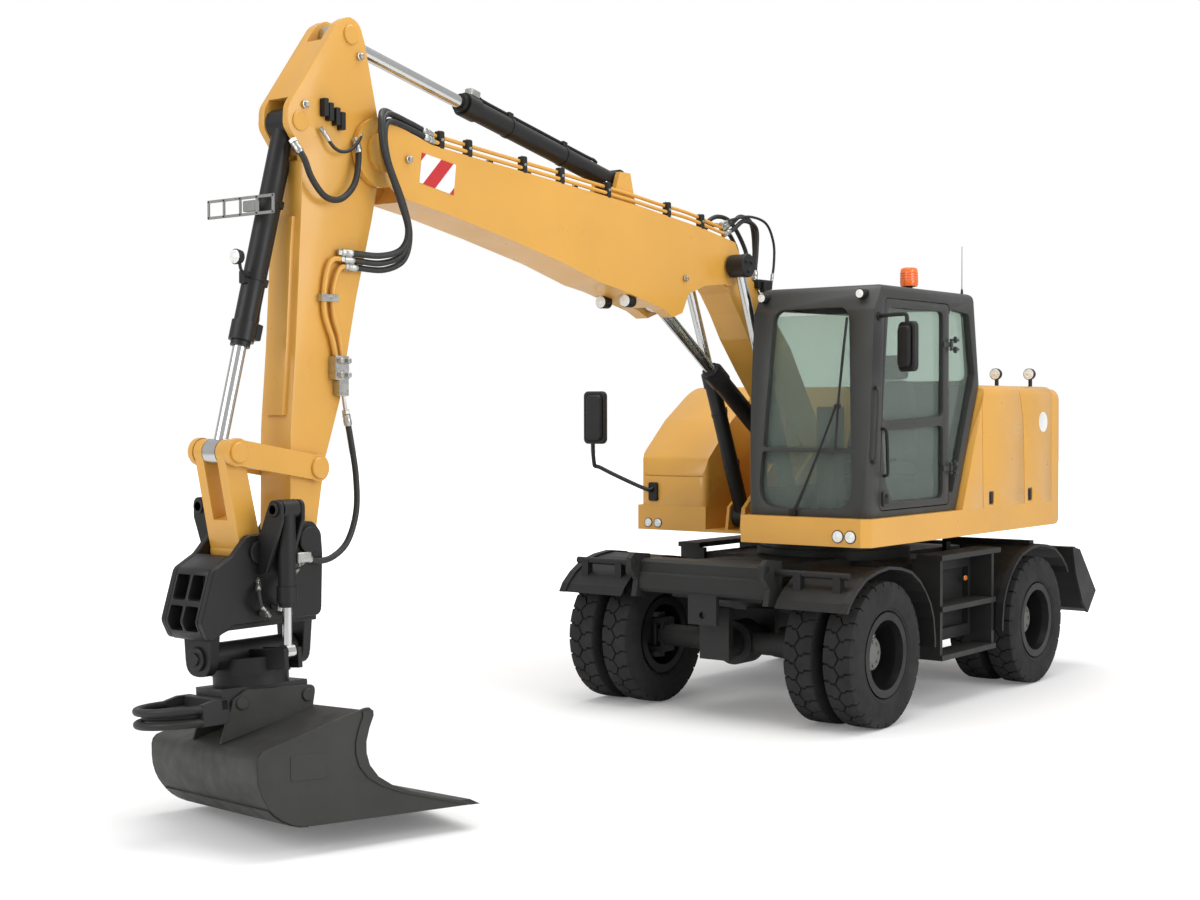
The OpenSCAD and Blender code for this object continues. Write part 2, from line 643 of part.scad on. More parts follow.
// stick with the pivot boss, cylinder ears, rocker pin and end boss
module stick() color(yellow) {
    difference() {
        union() {
            side_plate([[5300, 4380], [5340, 4480], [5420, 4515], [5510, 4460], [5880, 3950], [5885, 3840], [5775, 3700],
                [5807, 3160], [5842, 2609], [5880, 2169], [5890, 1600], end_p, [5700, 1600], [5629, 1998], [5511, 2336],
                [5382, 2907], [5251, 3373], [5199, 3600], [5199, 3966]], 2 * stick_hw, boom_y);
            cross_pin(nose_p, 270, boom_y - stick_hw, boom_y + stick_hw);
            cross_pin(end_p, 180, boom_y - stick_hw, boom_y + stick_hw);
        }
        cross_pin(nose_p, nose_pin_d + 2 * pin_play, boom_y - 300, boom_y + 300);
        cross_pin(end_p, end_pin_d + 2 * pin_play, boom_y - 300, boom_y + 300);
        side_plate([[5200, 4280], [5540, 4280], [5700, 4600], [5200, 4600]], 122, boom_y);
        side_plate([[5690, 3710], [5950, 3560], [5950, 4000], [5690, 4000]], 152, boom_y);
    }
    cross_pin(rocker_p, rocker_pin_d, boom_y - stick_hw - 45, boom_y + stick_hw + 45);
    cross_pin(bucket_base_p, bucket_pin_d, boom_y - stick_hw, boom_y + stick_hw);
}

module bucket_barrel() color(black) aim(bucket_base_p, meet_p, boom_y) barrel(1260, 120, 75, 140, bucket_pin_d);

module bucket_rod() color(steel)
    aim(meet_p, along(meet_p, bucket_base_p, -100), boom_y) rod(1400, 75, 140, 100);

// link bar with round ends between two pins, bored at the first
module link_plate(p, q, dp, dq, bore, w, y) aim(p, q, y) rotate([90, 0, 0]) linear_extrude(w, center = true) {
    difference() {
        union() {
            circle(d = dp);
            translate([reach(p, q), 0]) circle(d = dq);
            polygon([[0, -0.46 * dp], [reach(p, q), -0.46 * dq], [reach(p, q), 0.46 * dq], [0, 0.46 * dp]]);
        }
        circle(d = bore);
    }
}

module rockers() color(yellow) both_sides(boom_y)
    link_plate(rocker_p, meet_p, 150, 150, rocker_pin_d + 2 * pin_play, 34, boom_y + stick_hw + side_play + 17);

// link between rocker and tiltrotator, forked round the rod's eye
module link() color(yellow) difference() {
    link_plate(link_p, meet_p, 160, 140, link_pin_d + 2 * pin_play, 2 * stick_hw, boom_y);
    aim(link_p, meet_p, boom_y) translate([190, -56, -200]) cube([600, 112, 400]);
}

// tiltrotator hanger with stick ears, body and tilt pins
module tilt_hanger() color(black) {
    both_sides(boom_y) {
        side_plate([[5690, 1500], [5700, 1600], [5760, 1665], [5840, 1665], [6130, 1620], [6250, 1600], [6590, 1400], [6600, 1140],
            [5700, 1140]], hanger_t, boom_y + stick_hw + side_play + hanger_t / 2);
        for (x = [-87, 61]) translate([rotor_x + x, boom_y + stick_hw + side_play + hanger_t, 0]) rotate([90, 0, 90])
            linear_extrude(26) polygon([[0, 1400], [70, 1400], [190, tilt_top_z - 60], [190, tilt_top_z + 25],
                [160, tilt_top_z + 50], [100, tilt_top_z + 50], [30, 1640], [0, 1600]]);
        translate([rotor_x, boom_y + tilt_dy, tilt_top_z]) x_bar(tilt_eye_pin, -87, 87);
    }
    translate([5700, boom_y - stick_hw - side_play, 1110]) cube([900, 2 * (stick_hw + side_play), 220]);
    for (x = [-tilt_half - 66, tilt_half + 6]) translate([rotor_x + x, boom_y - 90, tilt_z - 90]) cube([60, 180, 300]);
    translate([rotor_x, boom_y, tilt_z]) x_bar(tilt_pin_d, -tilt_half - 60, tilt_half + 60);
    cross_pin(end_p, end_pin_d, boom_y - stick_hw - 50, boom_y + stick_hw + 50);
    cross_pin(link_p, link_pin_d, boom_y - stick_hw - 50, boom_y + stick_hw + 50);
}

// upper halves of the tilt cylinders, pinned to the hanger
module tilt_barrels() color(black) both_sides(boom_y)
    translate([rotor_x, boom_y + tilt_dy, tilt_top_z]) rotate([0, 90, 0]) rotate([90, 0, 0])
        barrel(500, 96, 50, 110, tilt_eye_pin);

// tilt rod from its eye on the tilt body's arm; side is 1 for left
module tilt_rod(side) translate([rotor_x, boom_y + side * tilt_dy, tilt_z + side * tilt_dy * sin(tilt_rest)])
    rotate([0, 90, 0]) rotate([90, 0, 0]) rod(510, 50, 84, 56);

module tilt_rod_left() color(steel) tilt_rod(1);
module tilt_rod_right() color(steel) tilt_rod(-1);

// places children on the tilt axis, turned by the tilt held in the photo
module tilted() translate([rotor_x, boom_y, tilt_z]) rotate([tilt_rest, 0, 0]) children();
// the same, turned with the rotor too
module turned() tilted() rotate([0, 0, turn_rest]) children();

// swinging housing with the rotor's worm drive and the cylinder arms
module tilt_body() color(black) tilted() difference() {
    union() {
        x_bar(150, -tilt_half, tilt_half);
        translate([0, 0, -112]) cylinder(h = 92, r = 215);
        for (s = [-1, 1]) translate([-62, s > 0 ? 0 : -tilt_dy - 45, -90]) cube([28, tilt_dy + 45, 110]);
        for (s = [-1, 1]) translate([34, s > 0 ? 0 : -tilt_dy - 45, -90]) cube([28, tilt_dy + 45, 110]);
    }
    x_bar(tilt_pin_d + 2 * pin_play, -900, 900);
}

// rotor flange and quick coupler
module rotor() color(black) turned() {
    translate([0, 0, -170]) cylinder(h = 58 - face_play, r = 205);
    translate([-250, -170, -270]) cube([500, 340, 101]);
}

// gripper frame with two curved claw bars on the coupler's outer side
module gripper() color(dark) turned() {
    translate([250, -claw_r - 22, -270]) cube([50, 2 * claw_r + 44, 60]);
    both_sides() translate([250, claw_r - 22, -342]) cube([150, 44, 132]);
    for (z = [-250, -320]) translate([400, 0, z]) rotate([0, 0, -90]) rotate_extrude(angle = 180)
        translate([claw_r, 0]) square([44, 44], center = true);
}

// bucket outline from the back top over the floor to the lip, forward is -X
bucket_out = [[bucket_lip, 0], [bucket_back - 190, 0], [bucket_back - 80, 30], [bucket_back - 15, 110], [bucket_back, 200],
    [bucket_back, 400], [bucket_back - 20, 430], [180, 540], [-250, 560], [-300, 640], [-420, 640]];
bucket_in = [[bucket_lip + 60, bucket_t], [bucket_back - 195, bucket_t], [bucket_back - 92, 46], [bucket_back - 32, 118],
    [bucket_back - bucket_t, 205], [bucket_back - bucket_t, 395], [bucket_back - 32, 415], [175, 523], [-260, 544], [-312, 624], [-420, 624]];

// grading bucket with curved sides, lip and coupler ears
module bucket() color(dark) turned() translate([0, 0, -bucket_drop]) rotate([0, bucket_pitch, 0]) {
    side_plate(concat(bucket_out, [for (i = [len(bucket_in) - 1:-1:0]) bucket_in[i]]), bucket_w);
    both_sides() difference() {
        side_plate(concat(bucket_out, [[-520, 600], [-545, 520]]), bucket_t, bucket_w / 2 - bucket_t / 2);
        cross_pin([-900, 500], 720, 0, bucket_w);
    }
    both_sides() side_plate([[-250, 559], [-250, 680], [150, 680], [220, 640], [260, 480], [180, 539]], 25, 182.5);
}
chassis_frame();
axles();
propshaft();
swing_bearing();
fenders();
side_steps();
knuckle_left();
knuckle_right();
tyres_front_left();
tyres_front_right();
tyres_rear_left();
tyres_rear_right();
rims_front_left();
rims_front_right();
rims_rear_left();
rims_rear_right();
dozer_blade();
blade_barrels();
blade_rods();
upper_frame();
counterweight();
engine_hood();
engine_block();
right_body();
cab_shell();
cab_glass();
cab_door();
door_glass();
seat();
console();
lamps();
mirrors();
lower_boom();
lift_barrels();
lift_rods();
adjust_barrel();
adjust_rod();
upper_boom();
stick_barrel();
stick_rod();
stick();
bucket_barrel();
bucket_rod();
rockers();
link();
tilt_hanger();
tilt_barrels();
tilt_rod_left();
tilt_rod_right();
tilt_body();
rotor();
gripper();
bucket();
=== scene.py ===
"""Looks of a wheeled excavator with two-piece boom and tiltrotator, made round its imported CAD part."""

import math

import bpy
import numpy as np
from mathutils import Matrix


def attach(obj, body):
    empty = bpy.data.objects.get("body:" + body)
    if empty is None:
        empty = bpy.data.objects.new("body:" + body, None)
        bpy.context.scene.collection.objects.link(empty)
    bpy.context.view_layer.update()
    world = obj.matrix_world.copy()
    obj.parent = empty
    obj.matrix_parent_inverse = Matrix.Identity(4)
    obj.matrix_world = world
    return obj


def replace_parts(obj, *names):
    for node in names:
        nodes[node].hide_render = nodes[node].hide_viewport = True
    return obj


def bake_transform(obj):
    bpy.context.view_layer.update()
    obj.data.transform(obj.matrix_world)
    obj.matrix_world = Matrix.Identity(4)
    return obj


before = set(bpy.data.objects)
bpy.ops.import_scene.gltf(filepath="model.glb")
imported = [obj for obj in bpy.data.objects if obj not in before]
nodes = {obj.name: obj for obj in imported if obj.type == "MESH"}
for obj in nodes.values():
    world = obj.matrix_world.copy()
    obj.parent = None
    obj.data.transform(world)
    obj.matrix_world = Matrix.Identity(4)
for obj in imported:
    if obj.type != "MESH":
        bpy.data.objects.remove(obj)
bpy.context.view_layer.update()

# Studio: a white sweep of floor that keeps the shadow, one pale dome of light and three soft lamps.
# The camera stands at the photograph's place, ahead of the machine on its left side.
CAMERA_AT = (12.3295, 7.1078, 2.2713)
CAMERA_YAW, CAMERA_PITCH, CAMERA_ROLL = 217.681, -1.307, -0.132
LENS_MM = 51.69

scene = bpy.context.scene
scene.view_settings.view_transform = "Standard"


def unit(v):
    """The vector v divided by its length."""
    v = np.asarray(v, float)
    return v / np.linalg.norm(v)


yaw, pitch, roll = np.radians([CAMERA_YAW, CAMERA_PITCH, CAMERA_ROLL])
ahead = np.array([math.cos(yaw) * math.cos(pitch), math.sin(yaw) * math.cos(pitch), math.sin(pitch)])
right0 = unit(np.cross(ahead, (0, 0, 1)))
up0 = np.cross(right0, ahead)
right = math.cos(roll) * right0 + math.sin(roll) * up0
up = math.cos(roll) * up0 - math.sin(roll) * right0
camera = bpy.data.objects.new("camera", bpy.data.cameras.new("camera"))
scene.collection.objects.link(camera)
pose = np.eye(4)
pose[:3, 0], pose[:3, 1], pose[:3, 2], pose[:3, 3] = right, up, -ahead, CAMERA_AT
camera.matrix_world = Matrix(pose.tolist())
camera.data.lens, camera.data.sensor_width, camera.data.sensor_fit = LENS_MM, 36, "HORIZONTAL"
scene.camera = camera


def soft_lamp(name, at, target, size, power):
    """A square area lamp of the given side at one point, turned to another."""
    lamp = bpy.data.objects.new(name, bpy.data.lights.new(name, "AREA"))
    lamp.data.size, lamp.data.energy = size, power
    z = unit(np.subtract(at, target))
    x = unit(np.cross((0, 1, 0.01), z))
    m = np.eye(4)
    m[:3, 0], m[:3, 1], m[:3, 2], m[:3, 3] = x, np.cross(z, x), z, at
    lamp.matrix_world = Matrix(m.tolist())
    scene.collection.objects.link(lamp)


soft_lamp("lamp_over", (2.0, 1.0, 12.0), (2.0, 0.0, 1.0), 10.0, 900)
soft_lamp("lamp_left", (3.0, 12.0, 6.0), (2.0, 0.0, 1.5), 8.0, 700)
soft_lamp("lamp_front", (14.0, -2.0, 6.0), (3.0, 0.0, 2.0), 6.0, 350)

world = bpy.data.worlds.new("pale_dome")
scene.world = world
world.use_nodes = True
tree = world.node_tree
path = tree.nodes.new("ShaderNodeLightPath")
seen = tree.nodes.new("ShaderNodeMath")
seen.operation, seen.use_clamp = "ADD", True
tree.links.new(path.outputs["Is Camera Ray"], seen.inputs[0])
tree.links.new(path.outputs["Is Transmission Ray"], seen.inputs[1])
lit = tree.nodes.new("ShaderNodeMapRange")
lit.inputs["To Min"].default_value, lit.inputs["To Max"].default_value = 0.62, 1.0
tree.links.new(seen.outputs[0], lit.inputs["Value"])
tree.links.new(lit.outputs[0], tree.nodes["Background"].inputs["Strength"])
tree.nodes["Background"].inputs["Color"].default_value = (1, 1, 1, 1)

FLOOR_HALF = 60.0
floor_mesh = bpy.data.meshes.new("floor")
floor_mesh.from_pydata(
    [(-FLOOR_HALF, -FLOOR_HALF, -0.001), (FLOOR_HALF, -FLOOR_HALF, -0.001),
     (FLOOR_HALF, FLOOR_HALF, -0.001), (-FLOOR_HALF, FLOOR_HALF, -0.001)], [], [(0, 1, 2, 3)])
floor = bpy.data.objects.new("floor", floor_mesh)
scene.collection.objects.link(floor)
floor_paint = bpy.data.materials.new("floor_white")
floor_paint.use_nodes = True
tree = floor_paint.node_tree
matt = tree.nodes["Principled BSDF"]
matt.inputs["Base Color"].default_value = (0.86, 0.86, 0.86, 1)
matt.inputs["Roughness"].default_value = 0.9
path = tree.nodes.new("ShaderNodeLightPath")
place = tree.nodes.new("ShaderNodeTexCoord")
away = tree.nodes.new("ShaderNodeVectorMath")
away.operation = "DISTANCE"
away.inputs[1].default_value = (2.2, 0.0, 0.0)
tree.links.new(place.outputs["Object"], away.inputs[0])
glow = tree.nodes.new("ShaderNodeMapRange")
glow.interpolation_type = "SMOOTHSTEP"
glow.inputs["From Min"].default_value, glow.inputs["From Max"].default_value = 3.0, 11.0
glow.inputs["To Min"].default_value, glow.inputs["To Max"].default_value = 0.12, 0.85
tree.links.new(away.outputs["Value"], glow.inputs["Value"])
shown = tree.nodes.new("ShaderNodeMath")
shown.operation = "MULTIPLY"
tree.links.new(path.outputs["Is Camera Ray"], shown.inputs[0])
tree.links.new(glow.outputs[0], shown.inputs[1])
matt.inputs["Emission Color"].default_value = (1, 1, 1, 1)
tree.links.new(shown.outputs[0], matt.inputs["Emission Strength"])
floor_mesh.materials.append(floor_paint)

# Painted steel: every sheet and casting is sprayed with two coats. The material takes its tone from
# large soft patches, its gloss from finer ones, and its skin from a grain as fine as sprayed paint.


def finish_of(name, colour, rough, metal=0.0, coat=0.0, patch=0.08, patch_size=1.5, grain=0.0004,
              grain_size=220.0, dust=0.0, dust_colour=(0.20, 0.19, 0.175), rough_swing=0.08, gloss=0.5):
    """Material whose colour swings by patch about its mean with noise of patch_size per metre, roughness swings
    with a noise three times as fine, height follows a grain, and upward faces take dust in blots."""
    mat = bpy.data.materials.new(name)
    mat.use_nodes = True
    t = mat.node_tree
    body = t.nodes["Principled BSDF"]
    body.inputs["Metallic"].default_value = metal
    body.inputs["Coat Weight"].default_value = coat
    body.inputs["Specular IOR Level"].default_value = gloss
    body.inputs["Coat Roughness"].default_value = 0.12
    place = t.nodes.new("ShaderNodeTexCoord")

    def noise(scale, detail):
        n = t.nodes.new("ShaderNodeTexNoise")
        n.inputs["Scale"].default_value, n.inputs["Detail"].default_value = scale, detail
        t.links.new(place.outputs["Object"], n.inputs["Vector"])
        return n.outputs["Fac"]

    def spread(value, low, high):
        r = t.nodes.new("ShaderNodeMapRange")
        r.inputs["From Min"].default_value, r.inputs["From Max"].default_value = 0.3, 0.7
        r.inputs["To Min"].default_value, r.inputs["To Max"].default_value = low, high
        t.links.new(value, r.inputs["Value"])
        return r.outputs[0]

    def mix(factor, a, b):
        m = t.nodes.new("ShaderNodeMix")
        m.data_type = "RGBA"
        t.links.new(factor, m.inputs["Factor"])
        for socket, value in (("A", a), ("B", b)):
            s = [i for i in m.inputs if i.name == socket and i.type == "RGBA"][0]
            if isinstance(value, tuple):
                s.default_value = (*value, 1)
            else:
                t.links.new(value, s)
        return [o for o in m.outputs if o.type == "RGBA"][0]

    low = tuple(c * (1 - patch) for c in colour)
    high = tuple(min(1.0, c * (1 + patch)) for c in colour)
    tone = mix(spread(noise(patch_size, 4.0), 0, 1), low, high)
    if dust:
        facing = t.nodes.new("ShaderNodeNewGeometry")
        split = t.nodes.new("ShaderNodeSeparateXYZ")
        t.links.new(facing.outputs["Normal"], split.inputs[0])
        upward = t.nodes.new("ShaderNodeMapRange")
        upward.inputs["From Min"].default_value, upward.inputs["From Max"].default_value = 0.2, 1.0
        upward.inputs["To Max"].default_value = dust
        t.links.new(split.outputs["Z"], upward.inputs["Value"])
        blots = t.nodes.new("ShaderNodeMath")
        blots.operation = "MULTIPLY"
        t.links.new(upward.outputs[0], blots.inputs[0])
        t.links.new(spread(noise(9.0, 6.0), 0.3, 1.0), blots.inputs[1])
        tone = mix(blots.outputs[0], tone, dust_colour)
    t.links.new(tone, body.inputs["Base Color"])
    t.links.new(spread(noise(3 * patch_size, 5.0), rough - rough_swing, rough + rough_swing),
                body.inputs["Roughness"])
    bump = t.nodes.new("ShaderNodeBump")
    bump.inputs["Strength"].default_value = 0.35
    bump.inputs["Distance"].default_value = grain
    t.links.new(noise(grain_size, 2.0), bump.inputs["Height"])
    t.links.new(bump.outputs["Normal"], body.inputs["Normal"])
    return mat


def dress(material, *names):
    """Puts the one material on every face of the named CAD nodes."""
    for name in names:
        mesh = nodes[name].data
        mesh.materials.clear()
        mesh.materials.append(material)


yellow = finish_of("yellow_paint", (0.655, 0.338, 0.056), 0.34, coat=0.25, patch=0.05)
dark_paint = finish_of("dark_grey_paint", (0.020, 0.021, 0.020), 0.5, gloss=0.3, dust=0.10)
black_paint = finish_of("black_paint", (0.010, 0.010, 0.010), 0.42, gloss=0.35, dust=0.05)
cab_paint = finish_of("cab_grey_paint", (0.036, 0.038, 0.036), 0.42, gloss=0.35, dust=0.05)
bright_steel = finish_of("chromed_rod", (0.60, 0.61, 0.60), 0.16, metal=1.0, patch=0.03, rough_swing=0.05)
rubber = finish_of("tyre_rubber", (0.024, 0.023, 0.023), 0.8, gloss=0.2, dust=0.08, patch=0.2, patch_size=6)
rim_black = finish_of("rim_paint", (0.008, 0.008, 0.008), 0.4, gloss=0.3)
plastic = finish_of("black_plastic", (0.010, 0.010, 0.010), 0.5, grain=0.0008, grain_size=400, gloss=0.35,
                    dust=0.05)
bucket_steel = finish_of("bucket_paint", (0.028, 0.028, 0.025), 0.5, gloss=0.35, dust=0.08, patch=0.15,
                         patch_size=3)
cast_block = finish_of("engine_casting", (0.06, 0.06, 0.06), 0.6, grain=0.002, grain_size=120)
seat_cloth = finish_of("seat_cloth", (0.03, 0.03, 0.033), 0.9, grain=0.001, grain_size=900)

glass = bpy.data.materials.new("tinted_glass")
glass.use_nodes = True
pane = glass.node_tree.nodes["Principled BSDF"]
pane.inputs["Base Color"].default_value = (0.60, 0.69, 0.63, 1)
pane.inputs["Roughness"].default_value = 0.02
pane.inputs["Transmission Weight"].default_value = 0.90
pane.inputs["IOR"].default_value = 1.2

beacon_lens = finish_of("beacon_lens", (0.95, 0.16, 0.012), 0.2, coat=0.5)

dress(yellow, "upper_frame", "counterweight", "engine_hood", "right_body", "lower_boom", "upper_boom",
      "stick", "rockers", "link")
dress(dark_paint, "chassis_frame", "axles", "propshaft", "side_steps", "knuckle_left", "knuckle_right",
      "dozer_blade", "blade_barrels", "gripper")
dress(black_paint, "swing_bearing", "lift_barrels", "adjust_barrel", "stick_barrel", "bucket_barrel",
      "tilt_hanger", "tilt_barrels", "tilt_body", "rotor")
dress(cab_paint, "cab_shell", "cab_door")
dress(bright_steel, "blade_rods", "lift_rods", "adjust_rod", "stick_rod", "bucket_rod", "tilt_rod_left",
      "tilt_rod_right")
dress(rubber, *[n for n in nodes if n.startswith("tyres_")])
dress(rim_black, *[n for n in nodes if n.startswith("rims_")])
dress(plastic, "console", "mirrors", "fenders")
dress(seat_cloth, "seat")
dress(bucket_steel, "bucket")
dress(cast_block, "engine_block")
dress(glass, "cab_glass", "door_glass")
dress(beacon_lens, "lamps")

# Tyres: eight moulded rubber tyres, two to a hub, each a shell of revolution with 27 pitches of block tread.
# A zigzag groove runs round the middle, and stepped grooves lead from it to both shoulders in turn.
TYRE_R, TREAD_HALF, PITCHES, TREAD_DEEP = 0.526, 0.0985, 27, 0.017
WHEELS = {"front_left": (1.4, 1), "front_right": (1.4, -1), "rear_left": (-1.2, 1), "rear_right": (-1.2, -1)}
TWIN_Y = (0.8085, 1.1285)


def grid_faces(nu, nv, round_u, round_v):
    """Quads of a grid of nu by nv points, facing out, joined end to start along u or v where it is round."""
    a, b = np.meshgrid(np.arange(nu if round_u else nu - 1), np.arange(nv if round_v else nv - 1),
                       indexing="ij")
    c, d = (a + 1) % nu, (b + 1) % nv
    return np.stack([a * nv + b, a * nv + d, c * nv + d, c * nv + b], -1).reshape(-1, 4)


def shell(p, round_u=False, round_v=True, caps=False):
    """Points and faces of the surface p[u, v]; caps close its first and last rows."""
    nu, nv = p.shape[:2]
    faces = grid_faces(nu, nv, round_u, round_v).tolist()
    if caps:
        faces += [list(range(nv))[::-1], list(range((nu - 1) * nv, nu * nv))]
    return p.reshape(-1, 3), faces


def piece(name, shells, material, body=None, crease=35.0):
    """One mesh of several shells, smooth but for edges sharper than the crease angle, riding on a body."""
    starts = np.cumsum([0] + [len(p) for p, _ in shells])
    mesh = bpy.data.meshes.new(name)
    mesh.from_pydata(np.concatenate([p for p, _ in shells]).tolist(), [],
                     [[i + s for i in f] for (_, faces), s in zip(shells, starts) for f in faces])
    mesh.materials.append(material)
    mesh.shade_smooth()
    mesh.set_sharp_from_angle(angle=math.radians(crease))
    obj = bpy.data.objects.new(name, mesh)
    scene.collection.objects.link(obj)
    if body:
        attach(obj, body)
    return obj


def tyre(x, y):
    """Tread point (p, q): the angle is p pitches plus a step in |q|, the place across is q plus a triangle wave
    of p that fades to the shoulder, and the radius falls by the tread's depth on the floor of a groove."""
    one = np.array([-0.075, -0.048, 0.048, 0.075, 0.18, 0.32, 0.425, 0.452, 0.548, 0.575, 0.68, 0.82])
    p = (np.arange(PITCHES)[:, None] + one).ravel()
    half = np.array([0.05, 0.085, 0.2, 0.34, 0.46, 0.52, 0.58, 0.72, 0.86, 0.95, 1.0])
    q = np.concatenate([-half[::-1], half])
    side = np.array([(0.5225, 0.1045), (0.516, 0.1095), (0.506, 0.1135), (0.497, 0.1150), (0.488, 0.1165),
                     (0.470, 0.1205), (0.448, 0.1245), (0.42, 0.1268), (0.385, 0.1272), (0.360, 0.1250),
                     (0.353, 0.1240), (0.350, 0.1256), (0.341, 0.1256), (0.338, 0.1215), (0.328, 0.1175),
                     (0.3195, 0.1125), (0.3095, 0.0890), (0.309, 0.0861), (0.262, 0.0861)])
    floor = np.array([1, 1, 1, 0.6, 0.0] + [0.0] * 14)
    place = p % 1.0
    wave = 1 - 4 * np.abs(place - 0.5)
    step = np.clip((np.abs(q) - 0.46) / 0.12, 0, 1) - 0.5
    near = np.minimum(place, 1 - place)
    low = np.where(q[None] < 0, near[:, None] <= 0.05, np.abs(place - 0.5)[:, None] <= 0.05)
    low = low | (np.abs(q) <= 0.051)[None]
    radius = TYRE_R - 0.0035 * q[None] ** 4 - TREAD_DEEP * low
    across = TREAD_HALF * (q[None] + 0.2 * wave[:, None] * np.clip(1 - np.abs(q) / 0.8, 0, 1)[None])
    turn = 2 * np.pi / PITCHES * (p[:, None] + 0.15 * step[None])
    edge_turn = 2 * np.pi / PITCHES * (p[:, None] + 0.075) + 0 * floor[None]
    cut = {-1: near <= 0.05, 1: np.abs(place - 0.5) <= 0.05}
    walls = {s: (side[None, :, 0] - 0.012 * floor[None] * cut[s][:, None],
                 s * (side[None, :, 1] + 0 * p[:, None]) - s * 0.006 * floor[None] * cut[s][:, None])
             for s in (-1, 1)}
    r = np.concatenate([walls[-1][0][:, ::-1], radius, walls[1][0]], 1)
    w = np.concatenate([walls[-1][1][:, ::-1], across, walls[1][1]], 1)
    a = np.concatenate([edge_turn[:, ::-1], turn, edge_turn], 1)
    return shell(np.stack([x - r * np.sin(a), y + w, TYRE_R + r * np.cos(a)], -1), True, True)


for wheel, (x, s) in WHEELS.items():
    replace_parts(piece("tread_" + wheel, [tyre(x, s * y) for y in TWIN_Y], rubber, "wheel_" + wheel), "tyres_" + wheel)

# Wheel nuts and hub caps: a pressed steel cap with a ring of eight bolts closes each hub, and ten zinc-plated
# nuts on studs hold each rim's disc.


def turned(profile, at, axis, sides=24, ring=False):
    """Surface of revolution: each (height, radius) of the profile, carried round the axis from the point at; a
    ring joins its profile end to start, and anything else is capped."""
    t = unit(axis)
    n = unit(np.cross(t, (0.31, 0.52, 0.80)))
    b = np.cross(t, n)
    h, r = np.array(profile, float).T
    a = np.linspace(0, 2 * np.pi, sides, endpoint=False)
    circle = np.cos(a)[:, None] * n + np.sin(a)[:, None] * b
    return shell(np.asarray(at) + h[:, None, None] * t + r[:, None, None] * circle, round_u=ring,
                 caps=not ring)


def bolt(at, axis, size):
    """Hexagon head with a chamfered crown on a round washer."""
    head = [(0.12 * size, 0.56 * size), (0.12 * size, 0.58 * size), (0.58 * size, 0.58 * size),
            (0.68 * size, 0.46 * size)]
    return [turned([(0, 0.78 * size), (0.13 * size, 0.78 * size), (0.15 * size, 0.74 * size)], at, axis, 16),
            turned(head, at, axis, 6)]


def circle_of(at, radius, count, axis, start=0.0):
    """Points spaced evenly on a circle about an axis along X or Y."""
    a = start + np.arange(count) * 2 * np.pi / count
    x, z = radius * np.cos(a), radius * np.sin(a)
    o = 0 * a
    return np.asarray(at) + (np.stack([x, o, z], -1) if axis == "y" else np.stack([o, x, z], -1))


zinc = finish_of("zinc_plate", (0.48, 0.48, 0.46), 0.34, metal=1.0, patch=0.12, patch_size=14,
                 rough_swing=0.1)
cap_grey = finish_of("hub_cap_grey", (0.14, 0.142, 0.135), 0.45, dust=0.1)
for wheel, (x, s) in WHEELS.items():
    out = (0, s, 0)
    cap = turned([(0, 0.118), (0.008, 0.118), (0.011, 0.112), (0.007, 0.108), (0.007, 0.070), (0.012, 0.064),
                  (0.012, 0.02)], (x, s * 1.120, TYRE_R), out, 40)
    heads = [b for at in circle_of((x, s * 1.127, TYRE_R), 0.088, 8, "y") for b in bolt(at, out, 0.018)]
    piece("hub_cap_" + wheel, [cap] + heads, cap_grey, "wheel_" + wheel)
    nuts = [b for at in circle_of((x, s * 1.044, TYRE_R), 0.185, 10, "y") for b in bolt(at, out, 0.03)]
    piece("wheel_nuts_" + wheel, nuts, zinc, "wheel_" + wheel)

# Platform and hood fittings: four plastic latches in their pockets, a blank enamelled round sign and a whip
# aerial, all screwed or clipped to the painted sheet of the upper structure.


def round_box(w, h, r, n=4):
    """Outline of a rectangle with round corners, anticlockwise about its middle."""
    a = np.linspace(0, np.pi / 2, n)
    arc = r * np.stack([np.cos(a), np.sin(a)], -1)
    turns = [np.array([[np.cos(k), -np.sin(k)], [np.sin(k), np.cos(k)]]) for k in np.arange(4) * np.pi / 2]
    middles = np.array([[w / 2 - r, h / 2 - r], [r - w / 2, h / 2 - r], [r - w / 2, r - h / 2],
                        [w / 2 - r, r - h / 2]])
    return np.concatenate([m + arc @ t.T for m, t in zip(middles, turns)])


def slab(outline, at, across, upward, depth, bevel=0.002):
    """Prism of an outline laid in the plane of across and upward, its edges cut by a small bevel."""
    e, f = unit(across), unit(upward)
    n = np.cross(e, f)
    o = np.asarray(outline, float)
    step = np.roll(o, -1, 0) - o
    out = np.stack([step[:, 1], -step[:, 0]], -1)
    out /= np.maximum(np.linalg.norm(out, axis=1, keepdims=True), 1e-9)
    inner = o - bevel * (out + np.roll(out, 1, 0)) / 2
    rows = [(inner, 0), (o, bevel), (o, depth - bevel), (inner, depth)]
    return shell(np.stack([np.asarray(at) + r[:, :1] * e + r[:, 1:] * f + h * n for r, h in rows]), caps=True)


LEFT, AHEAD, UP = (0, 1, 0), (1, 0, 0), (0, 0, 1)
latches = []
for x in (-0.308, -1.044):
    for s in (1, -1):
        face = (-s, 0, 0)
        latches += [slab(round_box(0.076, 0.096, 0.012), (x, s * 1.238, 1.576), face, UP, 0.008),
                    slab(round_box(0.034, 0.060, 0.008), (x, s * 1.246, 1.582), face, UP, 0.005),
                    turned([(0, 0.007), (0.004, 0.007), (0.005, 0.005)], (x, s * 1.246, 1.543), (0, s, 0),
                           16)]
piece("hood_latches", latches, plastic, "upper")

